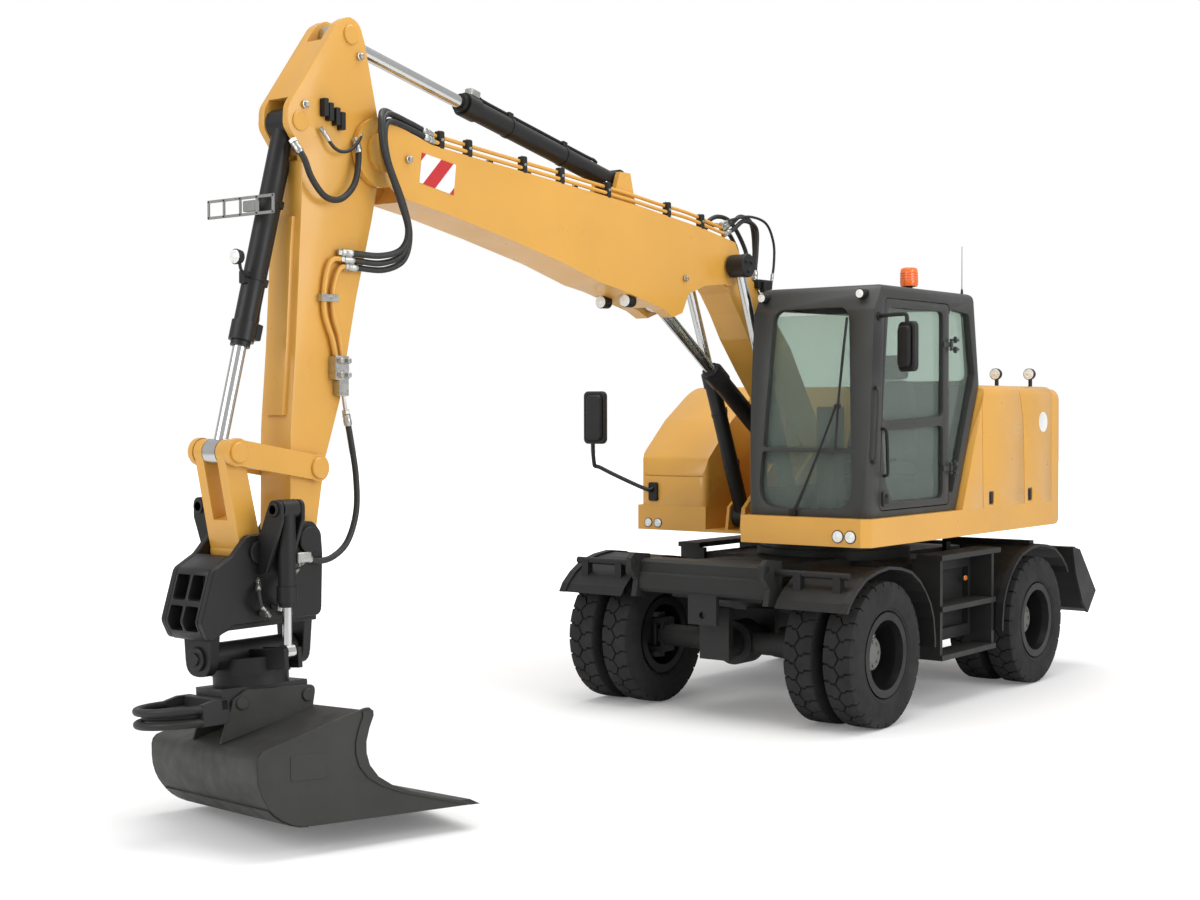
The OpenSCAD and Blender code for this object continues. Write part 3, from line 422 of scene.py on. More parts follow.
white_enamel = finish_of("white_enamel", (0.78, 0.78, 0.76), 0.3, coat=0.4, patch=0.03)
sign = [(0, 0.084), (0.0015, 0.084), (0.0025, 0.081), (0.0018, 0.079), (0.0018, 0.01)]
piece("round_blank_sign", [turned(sign, (-1.30, 1.2502, 2.169), LEFT, 48)], white_enamel, "upper")


def smooth_path(points, per=10):
    """Smooth curve through the points: each span is a cubic whose end slopes are half the step between the
    neighbours of that end."""
    p = np.asarray(points, float)
    p = np.concatenate([[2 * p[0] - p[1]], p, [2 * p[-1] - p[-2]]])
    t = np.linspace(0, 1, per, endpoint=False)[None, :, None]
    a, b, c, d = (p[i:len(p) - 3 + i][:, None] for i in range(4))
    run = b + 0.5 * t * (c - a + t * (2 * a - 5 * b + 4 * c - d + t * (3 * (b - c) + d - a)))
    return np.concatenate([run.reshape(-1, 3), p[-2:-1]])


def tube(path, radius, sides=12):
    """Round section carried along a path, square to it, its first direction in the path's own plane."""
    path = np.asarray(path, float)
    t = np.gradient(path, axis=0)
    t /= np.linalg.norm(t, axis=1, keepdims=True)
    if np.ptp(t, axis=0).max() > 1e-6:
        flat = np.linalg.svd(t - t.mean(0) * (len(t) > 2))[2][2]
    else:
        flat = np.cross(t[0], unit(t[0][[1, 2, 0]] + 0.1))
    n = np.cross(flat, t)
    n /= np.linalg.norm(n, axis=1, keepdims=True)
    b = np.cross(t, n)
    a = np.linspace(0, 2 * np.pi, sides, endpoint=False)
    ring = np.cos(a)[None, :, None] * n[:, None] + np.sin(a)[None, :, None] * b[:, None]
    return shell(path[:, None] + np.broadcast_to(radius, (len(path),))[:, None, None] * ring, caps=True)


aerial = np.array([(-0.02, 1.13, 3.165), (-0.02, 1.13, 3.20), (-0.02, 1.13, 3.215), (-0.02, 1.13, 3.54)])
piece("whip_aerial", [tube(aerial, np.array([0.011, 0.009, 0.003, 0.002]), 10)], plastic, "upper")

# Cab fittings: the wiper with its arm and rubber blade, the door's grip and lock, and the hinge covers,
# black plastic and rubber, fixed to the cab frame or to the door that carries them.
arm = smooth_path([(1.640, 0.60, 1.53), (1.637, 0.66, 1.62), (1.632, 0.80, 1.93), (1.612, 0.949, 2.30)], 6)
blade = smooth_path([(1.628, 0.955, 1.98), (1.610, 0.965, 2.30), (1.585, 0.985, 2.62), (1.553, 1.005, 2.93)],
                    6)
wiper = [tube(arm, np.linspace(0.014, 0.008, len(arm)), 8), tube(blade, 0.010, 6),
         turned([(0, 0.03), (0.02, 0.03), (0.026, 0.024)], (1.618, 0.60, 1.53), AHEAD, 20),
         slab(round_box(0.05, 0.03, 0.008), (1.598, 0.958, 2.30), LEFT, UP, 0.022)]
piece("screen_wiper", wiper, plastic, "upper")

grip = smooth_path([(1.380, 1.206, 1.80), (1.382, 1.238, 1.815), (1.392, 1.244, 1.90), (1.402, 1.244, 2.05),
                    (1.408, 1.238, 2.125), (1.408, 1.206, 2.14)], 6)
lock = [tube(grip, 0.012, 10),
        slab(round_box(0.05, 0.075, 0.012), (1.380, 1.227, 1.638), (-1, 0, 0), UP, 0.006),
        turned([(0, 0.012), (0.005, 0.012), (0.007, 0.009)], (1.380, 1.233, 1.655), LEFT, 20)]
piece("door_grip", lock, plastic, "door")
hinges = [slab(round_box(0.05, 0.05, 0.010), (0.312, 1.2335, z), (-1, 0, 0), UP, 0.008)
          for z in (1.790, 1.866, 2.727, 2.803)]
piece("hinge_covers", hinges, plastic, "upper")

# Lenses: each clear lens is a shallow moulded dome with raised rings, clipped into its lamp's housing.
# The red tail lenses sit in wells of the counterweight, and four ribs go round the beacon's dome.


def dress_where(node, rule, material):
    """Puts a second material on the faces of a CAD node whose middle satisfies the rule."""
    mesh = nodes[node].data
    mesh.materials.append(material)
    middle = np.empty(3 * len(mesh.polygons), np.float32)
    mesh.polygons.foreach_get("center", middle)
    index = np.empty(len(mesh.polygons), np.int32)
    mesh.polygons.foreach_get("material_index", index)
    index[rule(*middle.reshape(-1, 3).T)] = len(mesh.materials) - 1
    mesh.polygons.foreach_set("material_index", index)


def lens(at, axis, r):
    """Shallow dome with three raised rings."""
    k = np.array([1.0, 0.97, 0.9, 0.84, 0.78, 0.62, 0.56, 0.5, 0.3, 0.24, 0.05])
    ridge = np.array([0, 0.004, 0.004, 0.0055, 0.004, 0.005, 0.0065, 0.005, 0.0055, 0.007, 0.0075])
    return turned(np.stack([ridge * r / 0.04, k * r], -1), at, axis, 32)


lens_glass = finish_of("lamp_lens_glass", (0.82, 0.83, 0.80), 0.08, coat=1.0, patch=0.06, patch_size=30,
                       rough_swing=0.04)
red_lens = finish_of("tail_lens", (0.42, 0.012, 0.01), 0.15, coat=0.8)
lamp_faces = [((1.693, y, 1.378), 0.041) for y in (1.010, 1.110)] + [((1.003, y, 1.363), 0.034)
                                                                     for y in (-1.050, -1.145)]
lamp_faces += [((1.518, y, 3.098), 0.030) for y in (0.265, 1.085)]
lamp_faces += [((-1.121, 0.900, 2.570), 0.044), ((-1.345, 1.100, 2.570), 0.044)]
piece("lamp_lenses", [lens(at, AHEAD, r) for at, r in lamp_faces], lens_glass, "upper")
tail_lens = [slab(round_box(0.18, 0.08, 0.02), (-1.880, s * 0.88, 1.465), (0, -1, 0), UP, 0.014, 0.004)
             for s in (1, -1)]
piece("tail_lenses", tail_lens, red_lens, "upper")
ribs = [turned([(0, 0.0705), (0.003, 0.073), (0.006, 0.0705)], (0.03, 0.70, 3.17 + h), UP, 36)
        for h in (0.12, 0.14, 0.16, 0.18)]
piece("beacon_ribs", ribs, beacon_lens, "upper")

# Body panels: pressed sheet with rolled edges, bolted to the platform round the engine and on the right side.
# Each panel keeps its CAD solid's outline and gains the rolled edges, seams, latch pockets and louvres.


def rounded(points, radii=0.0, n=6):
    """Outline in metres of corners in millimetres: each is cut back by its radius over the tangent of half its
    angle and filled with a parabola."""
    p = np.asarray(points, float) / 1000
    r = np.broadcast_to(np.asarray(radii, float) / 1000, (len(p),))
    u, v = np.roll(p, 1, 0) - p, np.roll(p, -1, 0) - p
    lu, lv = np.linalg.norm(u, axis=1), np.linalg.norm(v, axis=1)
    u, v = u / lu[:, None], v / lv[:, None]
    half = np.arccos(np.clip((u * v).sum(1), -1, 1)) / 2
    back = np.minimum(r / np.maximum(np.tan(half), 1e-6), 0.49 * np.minimum(lu, lv))[:, None, None]
    s = np.linspace(0, 1, n)[None, :, None]
    o = (p[:, None] + back * ((1 - s) ** 2 * u[:, None] + s ** 2 * v[:, None])).reshape(-1, 2)
    o = o[np.linalg.norm(o - np.roll(o, 1, 0), axis=1) > 1e-6]
    turn = (o[:, 0] * np.roll(o[:, 1], -1) - np.roll(o[:, 0], -1) * o[:, 1]).sum()
    return o if turn > 0 else o[::-1]


def box(x0, y0, x1, y1):
    """Corners of an upright rectangle."""
    return [(x0, y0), (x1, y0), (x1, y1), (x0, y1)]


def prism(outline, axis, low, high):
    """Outline in the plane square to an axis, carried along it between two places in millimetres."""
    ends = (high, low) if axis == "y" else (low, high)
    return shell(np.stack([np.insert(outline, "xyz".index(axis), e / 1000, axis=1) for e in ends]), caps=True)


def seam(points, width):
    """Strip of one width along X that follows a line of points."""
    p = np.asarray(points, float)
    return rounded(np.concatenate([p + (width / 2, 0), p[::-1] - (width / 2, 0)]))


def carved(name, base, cuts, material, body, bevel=0.005):
    """Solid made from the base by joining, cutting or trimming it with further shells in turn, its sharp edges
    bevelled."""
    obj = piece(name, base, material)
    tools = [piece(name + "_tool", shells, material) for _, shells in cuts]
    for (how, _), tool in zip(cuts, tools):
        step = obj.modifiers.new("cut", "BOOLEAN")
        step.operation, step.object, step.solver = how, tool, "EXACT"
    edge = obj.modifiers.new("edge", "BEVEL")
    edge.width, edge.segments, edge.limit_method, edge.angle_limit = bevel, 2, "ANGLE", math.radians(40)
    made = bpy.data.meshes.new_from_object(obj.evaluated_get(bpy.context.evaluated_depsgraph_get()))
    obj.modifiers.clear()
    obj.data = made
    made.name = name
    made.materials.clear()
    made.materials.append(material)
    made.shade_smooth()
    made.set_sharp_from_angle(angle=math.radians(40))
    for tool in tools:
        bpy.data.objects.remove(tool)
    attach(obj, body)
    return obj


def arch(low, high):
    """Outline of the rear body seen from ahead, with rolled top edges."""
    return rounded(box(-1250, low, 1250, high), (0, 0, 90, 90), 8)


seams = [prism(seam([(-818, 2470), (-898, 2200), (-922, 1840), (-935, 1500)], 9), "y", 1238, 1270),
         prism(seam([(-133, 2400), (-158, 1500)], 9), "y", 1238, 1270)]
pockets = [prism(rounded(box(x - 45, 1520, x + 45, 1632), 14), "y", *lim) for x in (-308, -1044)
           for lim in ((1238, 1270), (-1270, -1238))]
louvres = [prism(rounded(box(-1300, z, -600, z + 26), 10), "y", -1270, -1232) for z in range(1720, 2290, 70)]
grille = [prism(rounded(box(x, -500, x + 60, 400), 20), "z", 2445, 2500) for x in range(-1300, -640, 110)]
left_side = rounded([(-1480, 1505), (205, 1505), (-185, 2440), (-240, 2465), (-1480, 2465)])
hood = carved("hood_panels", [prism(left_side, "y", 205, 1250)],
              [("UNION", [prism(rounded(box(-1480, -1250, -250, 206)), "z", 1505, 2465)]),
               ("INTERSECT", [prism(arch(1505, 2465), "x", -1480, 300)]),
               ("DIFFERENCE", seams + pockets), ("DIFFERENCE", louvres + grille)],
              yellow, "upper")
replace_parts(hood, "engine_hood")
tail = rounded([(0, 1305), (2050, 1305), (2050, 2450), (0, 2450)], (0, 60, 120, 0), 8)[1:-1, ::-1]
lamp_wells = [prism(rounded([(s * 780, 1420), (s * 980, 1420), (s * 980, 1520), (s * 780, 1520)], 25),
                    "x", -2300, -1885) for s in (1, -1)]
weight = carved("tail_weight", [turned(tail, (0, 0, 0), UP, 160)],
                [("INTERSECT", [prism(arch(1305, 2450), "x", -2200, -1481)]), ("DIFFERENCE", lamp_wells)],
                yellow, "upper")
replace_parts(weight, "counterweight")
right_side = rounded([(-250, 1505), (1000, 1505), (1000, 1757), (955, 1890), (620, 2190), (200, 2465),
                      (-250, 2465)], (0, 0, 25, 90, 60, 120, 0))
from_ahead = rounded(box(-1250, 1505, -585, 2465), (0, 0, 50, 90))
from_above = rounded(box(-260, -1250, 1000, -585), (0, 120, 60, 0))
side_seams = [prism(seam([(250, 1500), (250, 2500)], 9), "y", -1270, -1238),
              prism(rounded(box(988, -1260, 1008, -575)), "z", 1740, 1748)]
side_body = carved("right_panels", [prism(right_side, "y", -1250, -585)],
                   [("INTERSECT", [prism(from_ahead, "x", -249, 1010)]),
                    ("INTERSECT", [prism(from_above, "z", 1500, 2500)]),
                    ("DIFFERENCE", side_seams)], yellow, "upper")
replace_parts(side_body, "right_body")

# Cab: a welded tube frame with round corners and roof edges, bolted to the platform, with its panes glued
# against the inside. The door is a pressed frame with two windows that hangs on two hinges behind it.
CAB = rounded([(1610, 1505), (1600, 1900), (1520, 2980), (1400, 3170), (-60, 3170), (-165, 2466),
               (235, 1505)], (0, 600, 60, 90, 60, 60, 0))
CAB_IN = [(1555, 1545), (1545, 1900), (1462, 2960), (1370, 3110), (-8, 3110), (-105, 2466), (275, 1545)]
QUARTER = rounded([(345, 1640), (345, 3040), (10, 3010), (-90, 2552), (290, 1640)], (30, 40, 50, 60, 30))
RIGHT_PANE = rounded([(1440, 1700), (1360, 3010), (10, 3030), (-80, 2500), (260, 1700)], 60)
SCREENS = [rounded([(290, 1560), (1075, 1560), (1062, 1970), (322, 1970)], (170, 170, 20, 20)),
           rounded([(325, 2000), (1060, 2000), (1000, 3010), (375, 3010)], (20, 20, 110, 110))]


def door_edge(o, r):
    """Door outline drawn in by o, its front edge leaning with the post."""
    lean = np.interp([1550 + o, 3075 - o], [1550, 3075], [1450, 1362]) - o
    return rounded([(345 + o, 1550 + o), (lean[0], 1550 + o), (lean[1], 3075 - o), (345 + o, 3075 - o)], r)


cab = carved("cab_frame", [prism(CAB, "y", 205, 1205)],
             [("INTERSECT", [prism(rounded(box(205, 1505, 1205, 3170), (0, 0, 60, 60)), "x", -300, 1620)]),
              ("INTERSECT", [prism(rounded(box(-300, 205, 1610, 1205), (0, 60, 60, 0)), "z", 1500, 3180)]),
              ("DIFFERENCE", [prism(rounded(CAB_IN), "y", 260, 1150)]),
              ("DIFFERENCE", [prism(door_edge(0, 55), "y", 1140, 1215), prism(RIGHT_PANE, "y", 195, 270)]),
              ("DIFFERENCE", [prism(o, "x", 1300, 1700) for o in SCREENS]
               + [prism(rounded(box(295, 2500, 1115, 3050), 60), "x", -300, 60)]),
              ("DIFFERENCE", [prism(QUARTER, "y", 1140, 1215)]),
              ("DIFFERENCE", [prism(rounded(box(100, 365, 1100, 1045), 80), "z", 3158, 3190)])],
             cab_paint, "upper", 0.008)
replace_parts(cab, "cab_shell")
hinge = []
for z in (1.828, 2.765):
    hinge += [turned([(0, 0.013), (0.001, 0.014), (0.019, 0.014), (0.02, 0.013)], (0.34, 1.219, z + s), UP,
                     20) for s in (-0.045, 0.025)]
    hinge += [turned([(0, 0.006), (0.002, 0.007), (0.088, 0.007), (0.09, 0.006)], (0.34, 1.219, z - 0.045),
                     UP, 16)]
    hinge += [slab(round_box(0.05, 0.02, 0.004), (0.315, 1.2325, z + s), (-1, 0, 0), UP, 0.0275)
              for s in (-0.035, 0.035)]
rail = smooth_path([(1.54, 1.204, 1.90), (1.568, 1.248, 1.935), (1.55, 1.252, 2.15), (1.532, 1.248, 2.395),
                    (1.50, 1.204, 2.43)], 8)
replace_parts(piece("cab_hinge_lugs", hinge + [tube(rail, 0.014, 12)], cab_paint, "upper"),
            "cab_shell")
front = np.array(CAB_IN[:3]) - (1, 0)
back = np.array(CAB_IN[4:6]) + (1, 0)
panes = [prism(rounded(np.concatenate([front, front[::-1] - (8, 0)])), "y", 262, 1148),
         prism(rounded(np.concatenate([back, back[::-1] + (8, 0)])), "y", 262, 1148),
         prism(rounded([(350, 1630), (350, 3046), (6, 3016), (-86, 2552), (290, 1630)], 40), "y", 1141, 1149),
         prism(rounded([(1450, 1690), (1368, 3020), (4, 3040), (-86, 2500), (255, 1690)], 60), "y", 261, 269)]
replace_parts(piece("cab_panes", panes, glass, "upper"), "cab_glass")
DOOR_PANES = [rounded([(445, 2225), (1395, 2190), (1305, 3010), (445, 3010)], 60),
              rounded([(445, 1610), (1230, 1610), (1345, 1740), (1405, 2120), (445, 2155)],
                      (60, 60, 200, 60, 60))]
door = carved("door_frame", [prism(door_edge(6, 50), "y", 1165, 1205)],
              [("DIFFERENCE", [prism(o, "y", 1150, 1220) for o in DOOR_PANES])], cab_paint, "door",
              0.006)
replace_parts(door, "cab_door")
straps = [turned([(0, 0.013), (0.001, 0.014), (0.039, 0.014), (0.04, 0.013)], (0.34, 1.219, z - 0.02), UP, 20)
          for z in (1.828, 2.765)]
straps += [slab(round_box(0.11, 0.04, 0.008), (0.397, 1.2055, z), (-1, 0, 0), UP, 0.010)
           for z in (1.828, 2.765)]
straps += [slab(round_box(0.07, 0.105, 0.015), (1.38, 1.2055, 1.6375), (-1, 0, 0), UP, 0.022, 0.004)]
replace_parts(piece("door_straps", straps, cab_paint, "door"), "cab_door")
door_pane = rounded([(415, 1585), (1260, 1585), (1375, 1730), (1425, 2150), (1328, 3035), (415, 3035)])
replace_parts(piece("door_pane", [prism(door_pane, "y", 1156, 1164)], glass, "door"),
            "door_glass")

# Mirrors and lamp housings: dished plastic mirror heads on bent steel arms, the beacon's amber dome on its
# rubber stem, and pressed lamp housings that are screwed to the cab, the deck or short brackets.


def mirror_head(at, turn, w, h):
    """Two rounded layers of one head, set on a line turned about the upright."""
    out = np.array((math.cos(turn), math.sin(turn), 0.0))
    across = np.array((-math.sin(turn), math.cos(turn), 0.0))
    return [slab(round_box(w, h, 0.04, 6), np.asarray(at) - 0.034 * out, across, UP, 0.046, 0.01),
            slab(round_box(w - 0.05, h - 0.05, 0.04, 6), np.asarray(at) + 0.010 * out, across, UP, 0.028,
                 0.016)]


left_arm = smooth_path([(1.457, 1.213, 2.935), (1.47, 1.27, 2.939), (1.48, 1.38, 2.943),
                        (1.481, 1.435, 2.935), (1.48, 1.44, 2.86)], 8)
right_arm = smooth_path([(1.02, -1.085, 1.64), (1.06, -1.14, 1.64), (1.16, -1.50, 1.80),
                         (1.197, -1.556, 1.87), (1.20, -1.56, 2.33)], 8)
arms = [tube(left_arm, 0.015, 12), tube(right_arm, 0.017, 12),
        turned([(0, 0.032), (0.010, 0.032), (0.014, 0.026)], (1.455, 1.204, 2.935), LEFT, 24),
        slab(round_box(0.085, 0.15, 0.015), (1.0, -1.0875, 1.615), LEFT, UP, 0.026, 0.004)]
heads = mirror_head((1.48, 1.44, 2.715), math.radians(-30), 0.21, 0.35)
heads += mirror_head((1.20, -1.54, 2.215), math.radians(12), 0.20, 0.43)
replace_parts(piece("mirror_heads", arms + heads, plastic, "upper"), "mirrors")
dome = [(0.076, 0.060), (0.080, 0.068), (0.110, 0.072), (0.150, 0.070), (0.205, 0.067), (0.219, 0.060),
        (0.226, 0.042), (0.228, 0.01)]
stem = [(-0.001, 0.058), (0.002, 0.062), (0.014, 0.062), (0.020, 0.030), (0.070, 0.028), (0.076, 0.06),
        (0.079, 0.06)]
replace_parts(piece("beacon_dome", [turned(dome, (0.03, 0.70, 3.17), UP, 40)], beacon_lens, "upper"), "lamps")
housings = [turned(stem, (0.03, 0.70, 3.17), UP, 32)]
for y in (0.265, 1.085):
    housings += [turned([(0, 0.034), (0.005, 0.037), (0.09, 0.037), (0.096, 0.034), (0.096, 0.031)],
                        (1.42, y, 3.098), AHEAD, 32)]
for x, y in ((-1.156, 0.90), (-1.38, 1.10)):
    housings += [slab(round_box(0.05, 0.016, 0.004), (x, y, 2.464), AHEAD, LEFT, 0.07),
                 turned([(-0.025, 0.030), (-0.018, 0.042), (0.0, 0.048), (0.035, 0.048), (0.036, 0.045)],
                        (x, y, 2.57), AHEAD, 32)]
for x, y, z, r in ((1.689, 1.010, 1.378, 0.046), (1.689, 1.110, 1.378, 0.046), (0.999, -1.050, 1.363, 0.038),
                   (0.999, -1.145, 1.363, 0.038)):
    housings += [turned([(0, r), (0.006, r), (0.009, r - 0.003), (0.004, r - 0.005)], (x, y, z), AHEAD, 32)]
piece("lamp_housings", housings, plastic, "upper")

# Driver's seat: three foam pads in woven cloth, on a plastic base that is screwed to the cab's floor.
# Each pad is a squared, crowned cushion with sewn channels.


def pad(middle, size, tilt=0.0, square=0.32):
    """Superellipsoid: cosines and sines raised to a small power give a crowned box, and the top dips along two
    seams."""
    u = np.linspace(-np.pi / 2 + 0.02, np.pi / 2 - 0.02, 33)[:, None]
    v = np.linspace(0, 2 * np.pi, 64, endpoint=False)[None]

    def soft(c):
        return np.sign(c) * np.abs(c) ** square

    x, y, z = soft(np.cos(u)) * soft(np.cos(v)), soft(np.cos(u)) * soft(np.sin(v)), soft(np.sin(u)) + 0 * v
    seam = np.exp(-((np.abs(y) - 0.55) / 0.05) ** 2) + 0.5 * np.exp(-(x / 0.04) ** 2)
    z = z * (1 - 0.16 * seam) * (0.86 + 0.14 * np.cos(0.5 * np.pi * np.clip(np.hypot(x, y), 0, 1.4)))
    p = np.stack([x, y, z], -1) * np.asarray(size) / 2
    c, s = math.cos(tilt), math.sin(tilt)
    p = np.stack([c * p[..., 0] + s * p[..., 2], p[..., 1], c * p[..., 2] - s * p[..., 0]], -1)
    return shell(p + np.asarray(middle), caps=True)


base = [slab(round_box(0.42, 0.42, 0.03), (0.60, 0.71, 1.546), AHEAD, LEFT, 0.05),
        slab(round_box(0.34, 0.34, 0.03), (0.60, 0.71, 1.596), AHEAD, LEFT, 0.12),
        slab(round_box(0.48, 0.44, 0.03), (0.61, 0.71, 1.716), AHEAD, LEFT, 0.05)]
base += [slab(round_box(0.05, 0.40, 0.02), (0.315, 0.71, 1.90), LEFT, UP, 0.03)]
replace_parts(piece("seat_base", base, plastic, "upper"), "seat")
for name, middle, size, tilt in (("seat_cushion", (0.615, 0.71, 1.822), (0.55, 0.49, 0.13), -0.02),
                                 ("seat_back", (0.392, 0.71, 2.20), (0.60, 0.46, 0.12), -1.45),
                                 ("head_rest", (0.345, 0.71, 2.60), (0.19, 0.27, 0.085), -1.52)):
    cushion = piece(name, [pad(middle, size, tilt)], seat_cloth, "upper", crease=60)
    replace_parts(cushion, "seat")

# Boom pipes: steel tubes sprayed with the boom, carried along both top edges in bolted double clamps.
# They end in zinc-plated unions, where rubber hoses take over across the two boom joints.
hose_rubber = finish_of("hose_rubber", (0.013, 0.013, 0.013), 0.5, patch=0.15, patch_size=20, grain=0.0006,
                        grain_size=700)
TOP_LINE = np.array([(1.56, 3.545), (1.944, 3.598), (2.680, 3.682), (3.560, 3.757), (4.343, 3.818),
                     (4.790, 3.856), (5.00, 3.911)])
BOOM_Y, BOOM_HALF, STICK_HALF = -0.14, 0.165, 0.122


def top_run(y, lift):
    """Pipe laid along the boom's top edge at one height over it, lifted where it passes the stick cylinder."""
    x = np.linspace(1.62, 4.78, 70)
    z = np.interp(x, TOP_LINE[:, 0], TOP_LINE[:, 1])
    return np.stack([x, np.full_like(x, y), z + lift + 0.012 * np.exp(-((x - 2.1) / 0.25) ** 2)], -1)


runs = [(0.012, 0.026), (-0.006, 0.070), (-0.292, 0.026), (-0.274, 0.070)]
piece("boom_pipes", [tube(smooth_path(top_run(y, h)[::3], 3), 0.0125, 12) for y, h in runs], yellow,
      "upper_boom")
clamps, clamp_bolts = [], []
for x in (1.93, 2.35, 3.05, 3.55, 3.93, 4.45, 4.70):
    z = float(np.interp(x, TOP_LINE[:, 0], TOP_LINE[:, 1]))
    for y in (0.003, -0.283):
        clamps += [slab(round_box(0.046, 0.108, 0.012), (x, y - 0.024, z + 0.048), (-1, 0, 0), UP, 0.048,
                        0.004)]
        clamp_bolts += bolt((x, y - 0.004, z + 0.101), UP, 0.012)
        clamp_bolts += bolt((x, y + 0.0245, z + 0.048), LEFT, 0.012)
piece("boom_clamps", clamps, black_paint, "upper_boom")

fittings = {"upper_boom": clamp_bolts, "lower_boom": [], "stick": [], "hanger": [], "bucket_barrel": [],
            "upper": []}


def ferrule(path, d, body):
    """Crimped collar and hexagon nut round a hose's first 70 mm, kept for its body's set of fittings."""
    t = unit(np.subtract(path[1], path[0]))
    k = 0.5 * d
    fittings[body].append(turned([(0, 1.0 * k), (0.004, 1.28 * k), (0.020, 1.28 * k), (0.022, 1.2 * k),
                                  (0.026, 1.2 * k), (0.030, 1.3 * k), (0.060, 1.3 * k), (0.068, 1.05 * k)],
                                 path[0], t, 18))
    fittings[body].append(turned([(-0.024, 1.1 * k), (-0.022, 1.35 * k), (-0.002, 1.35 * k), (0.0, 1.1 * k)],
                                 path[0], t, 6))


def hose(name, routes, d, a, b):
    """Rubber hoses through the given points with a ferrule at each end; across a joint they are fixed to neither
    of its bodies."""
    paths = [smooth_path(r, 8) for r in routes]
    shells = [tube(p, d / 2, 12) for p in paths]
    for p in paths:
        ferrule(p, d, a)
        ferrule(p[::-1], d, b)
    if a == b:
        return piece(name, shells, hose_rubber, a)
    obj = piece(name, shells, hose_rubber, None)
    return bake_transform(obj)


# Knuckle hoses: four supply hoses and a thin one, of reinforced rubber, arch from the boom pipes over the
# knuckle. They are screwed into a cast block on the lower boom.
piece("lower_boom_block", [slab(round_box(0.11, 0.09, 0.01), (1.085, 0.01, 3.215), (-1, 0, 0), UP, 0.04),
                           slab(round_box(0.20, 0.07, 0.012), (1.085, -0.30, 3.235), (-1, 0, 0), UP, 0.33,
                                0.004)], black_paint, "lower_boom")
arches = []
for k, (y, h) in enumerate(runs):
    x1 = 1.155 - 0.048 * k
    y1 = (-0.02, -0.07, -0.26, -0.21)[k]
    top = (3.70, 3.735, 3.69, 3.75)[k]
    arches.append([(1.62, y, 3.553 + h), (1.50, y, 3.60 + h), (1.34, 0.6 * y + 0.4 * y1, top),
                   (1.16, 0.3 * y + 0.7 * y1, top - 0.04), (x1 - 0.02, y1, 3.50), (x1, y1, 3.36),
                   (x1 + 0.005, y1, 3.272)])
hose("knuckle_hoses", arches, 0.034, "upper_boom", "lower_boom")
thin = [[(1.66, 0.012, 3.655), (1.50, 0.016, 3.70), (1.28, 0.02, 3.735), (1.06, 0.02, 3.70),
         (0.955, 0.02, 3.56), (0.935, 0.01, 3.40), (0.955, 0.0, 3.262)]]
hose("knuckle_thin_hose", thin, 0.02, "upper_boom", "lower_boom")

# Stick hoses: three large hoses hang in a loop behind the boom's nose, from the boom pipes to the stick's own
# pipes, and a fourth swings forward to the bucket cylinder.
loops = [[(4.785, 0.012, 3.883), (4.97, 0.020, 3.925), (5.16, 0.040, 3.945), (5.235, 0.075, 3.86),
          (5.215, 0.085, 3.70), (5.10, 0.085, 3.48), (5.045, 0.085, 3.30), (5.085, 0.075, 3.15),
          (5.22, 0.05, 3.085), (5.40, 0.022, 3.085), (5.475, 0.012, 3.088)],
         [(4.785, -0.006, 3.927), (4.98, 0.01, 3.968), (5.18, 0.045, 3.985), (5.285, 0.105, 3.89),
          (5.265, 0.118, 3.72), (5.15, 0.118, 3.48), (5.085, 0.118, 3.30), (5.135, 0.10, 3.17),
          (5.27, 0.07, 3.118), (5.43, 0.03, 3.125), (5.505, 0.012, 3.128)],
         [(4.780, -0.030, 3.907), (4.98, -0.015, 3.962), (5.17, 0.02, 4.005), (5.32, 0.13, 3.93),
          (5.315, 0.15, 3.74), (5.19, 0.15, 3.48), (5.125, 0.15, 3.31), (5.165, 0.13, 3.20),
          (5.29, 0.09, 3.158), (5.45, 0.04, 3.163), (5.520, 0.012, 3.165)]]
hose("stick_hoses", loops, 0.036, "upper_boom", "stick")
front_loop = [[(5.395, 0.006, 3.80), (5.40, 0.03, 3.72), (5.45, 0.05, 3.56), (5.56, 0.055, 3.46),
               (5.68, 0.055, 3.46), (5.775, 0.05, 3.55), (5.815, 0.03, 3.66), (5.84, -0.02, 3.745)]]
hose("bucket_cylinder_hose", front_loop, 0.036, "stick", "bucket_barrel")
small_loop = [[(5.335, 0.0, 3.885), (5.40, 0.028, 3.80), (5.49, 0.035, 3.735), (5.58, 0.03, 3.74),
               (5.655, 0.01, 3.83)]]
hose("stick_small_hose", small_loop, 0.02, "stick", "stick")

# Stick pipes: two painted steel tubes run down the stick's left face in a bolted clamp to a valve block.
# From the block one rubber hose hangs in a loop to the tool.
STICK_FACE = BOOM_Y + STICK_HALF
down = [[(5.500, 0.012, 3.128), (5.575, 0.012, 3.125), (5.615, 0.010, 3.09), (5.640, 0.006, 3.00),
         (5.650, 0.004, 2.90), (5.640, 0.004, 2.80), (5.590, 0.006, 2.68), (5.565, 0.008, 2.58)],
        [(5.475, 0.012, 3.088), (5.520, 0.012, 3.082), (5.550, 0.010, 3.05), (5.575, 0.006, 2.98),
         (5.585, 0.004, 2.90), (5.575, 0.004, 2.80), (5.540, 0.006, 2.70), (5.520, 0.008, 2.58)]]
piece("stick_pipes", [tube(smooth_path(r, 6), 0.0155, 12) for r in down], yellow, "stick")
fittings["stick"] += [slab(round_box(0.13, 0.042, 0.006), (5.617, STICK_FACE, 2.905), (-1, 0, 0), UP, 0.044,
                           0.003)]
fittings["stick"] += bolt((5.617, 0.026, 2.905), LEFT, 0.014)
valve = [slab(round_box(0.105, 0.135, 0.008), (5.545, STICK_FACE, 2.515), (-1, 0, 0), UP, 0.062, 0.004),
         slab(round_box(0.075, 0.095, 0.008), (5.527, STICK_FACE, 2.405), (-1, 0, 0), UP, 0.055, 0.004)]
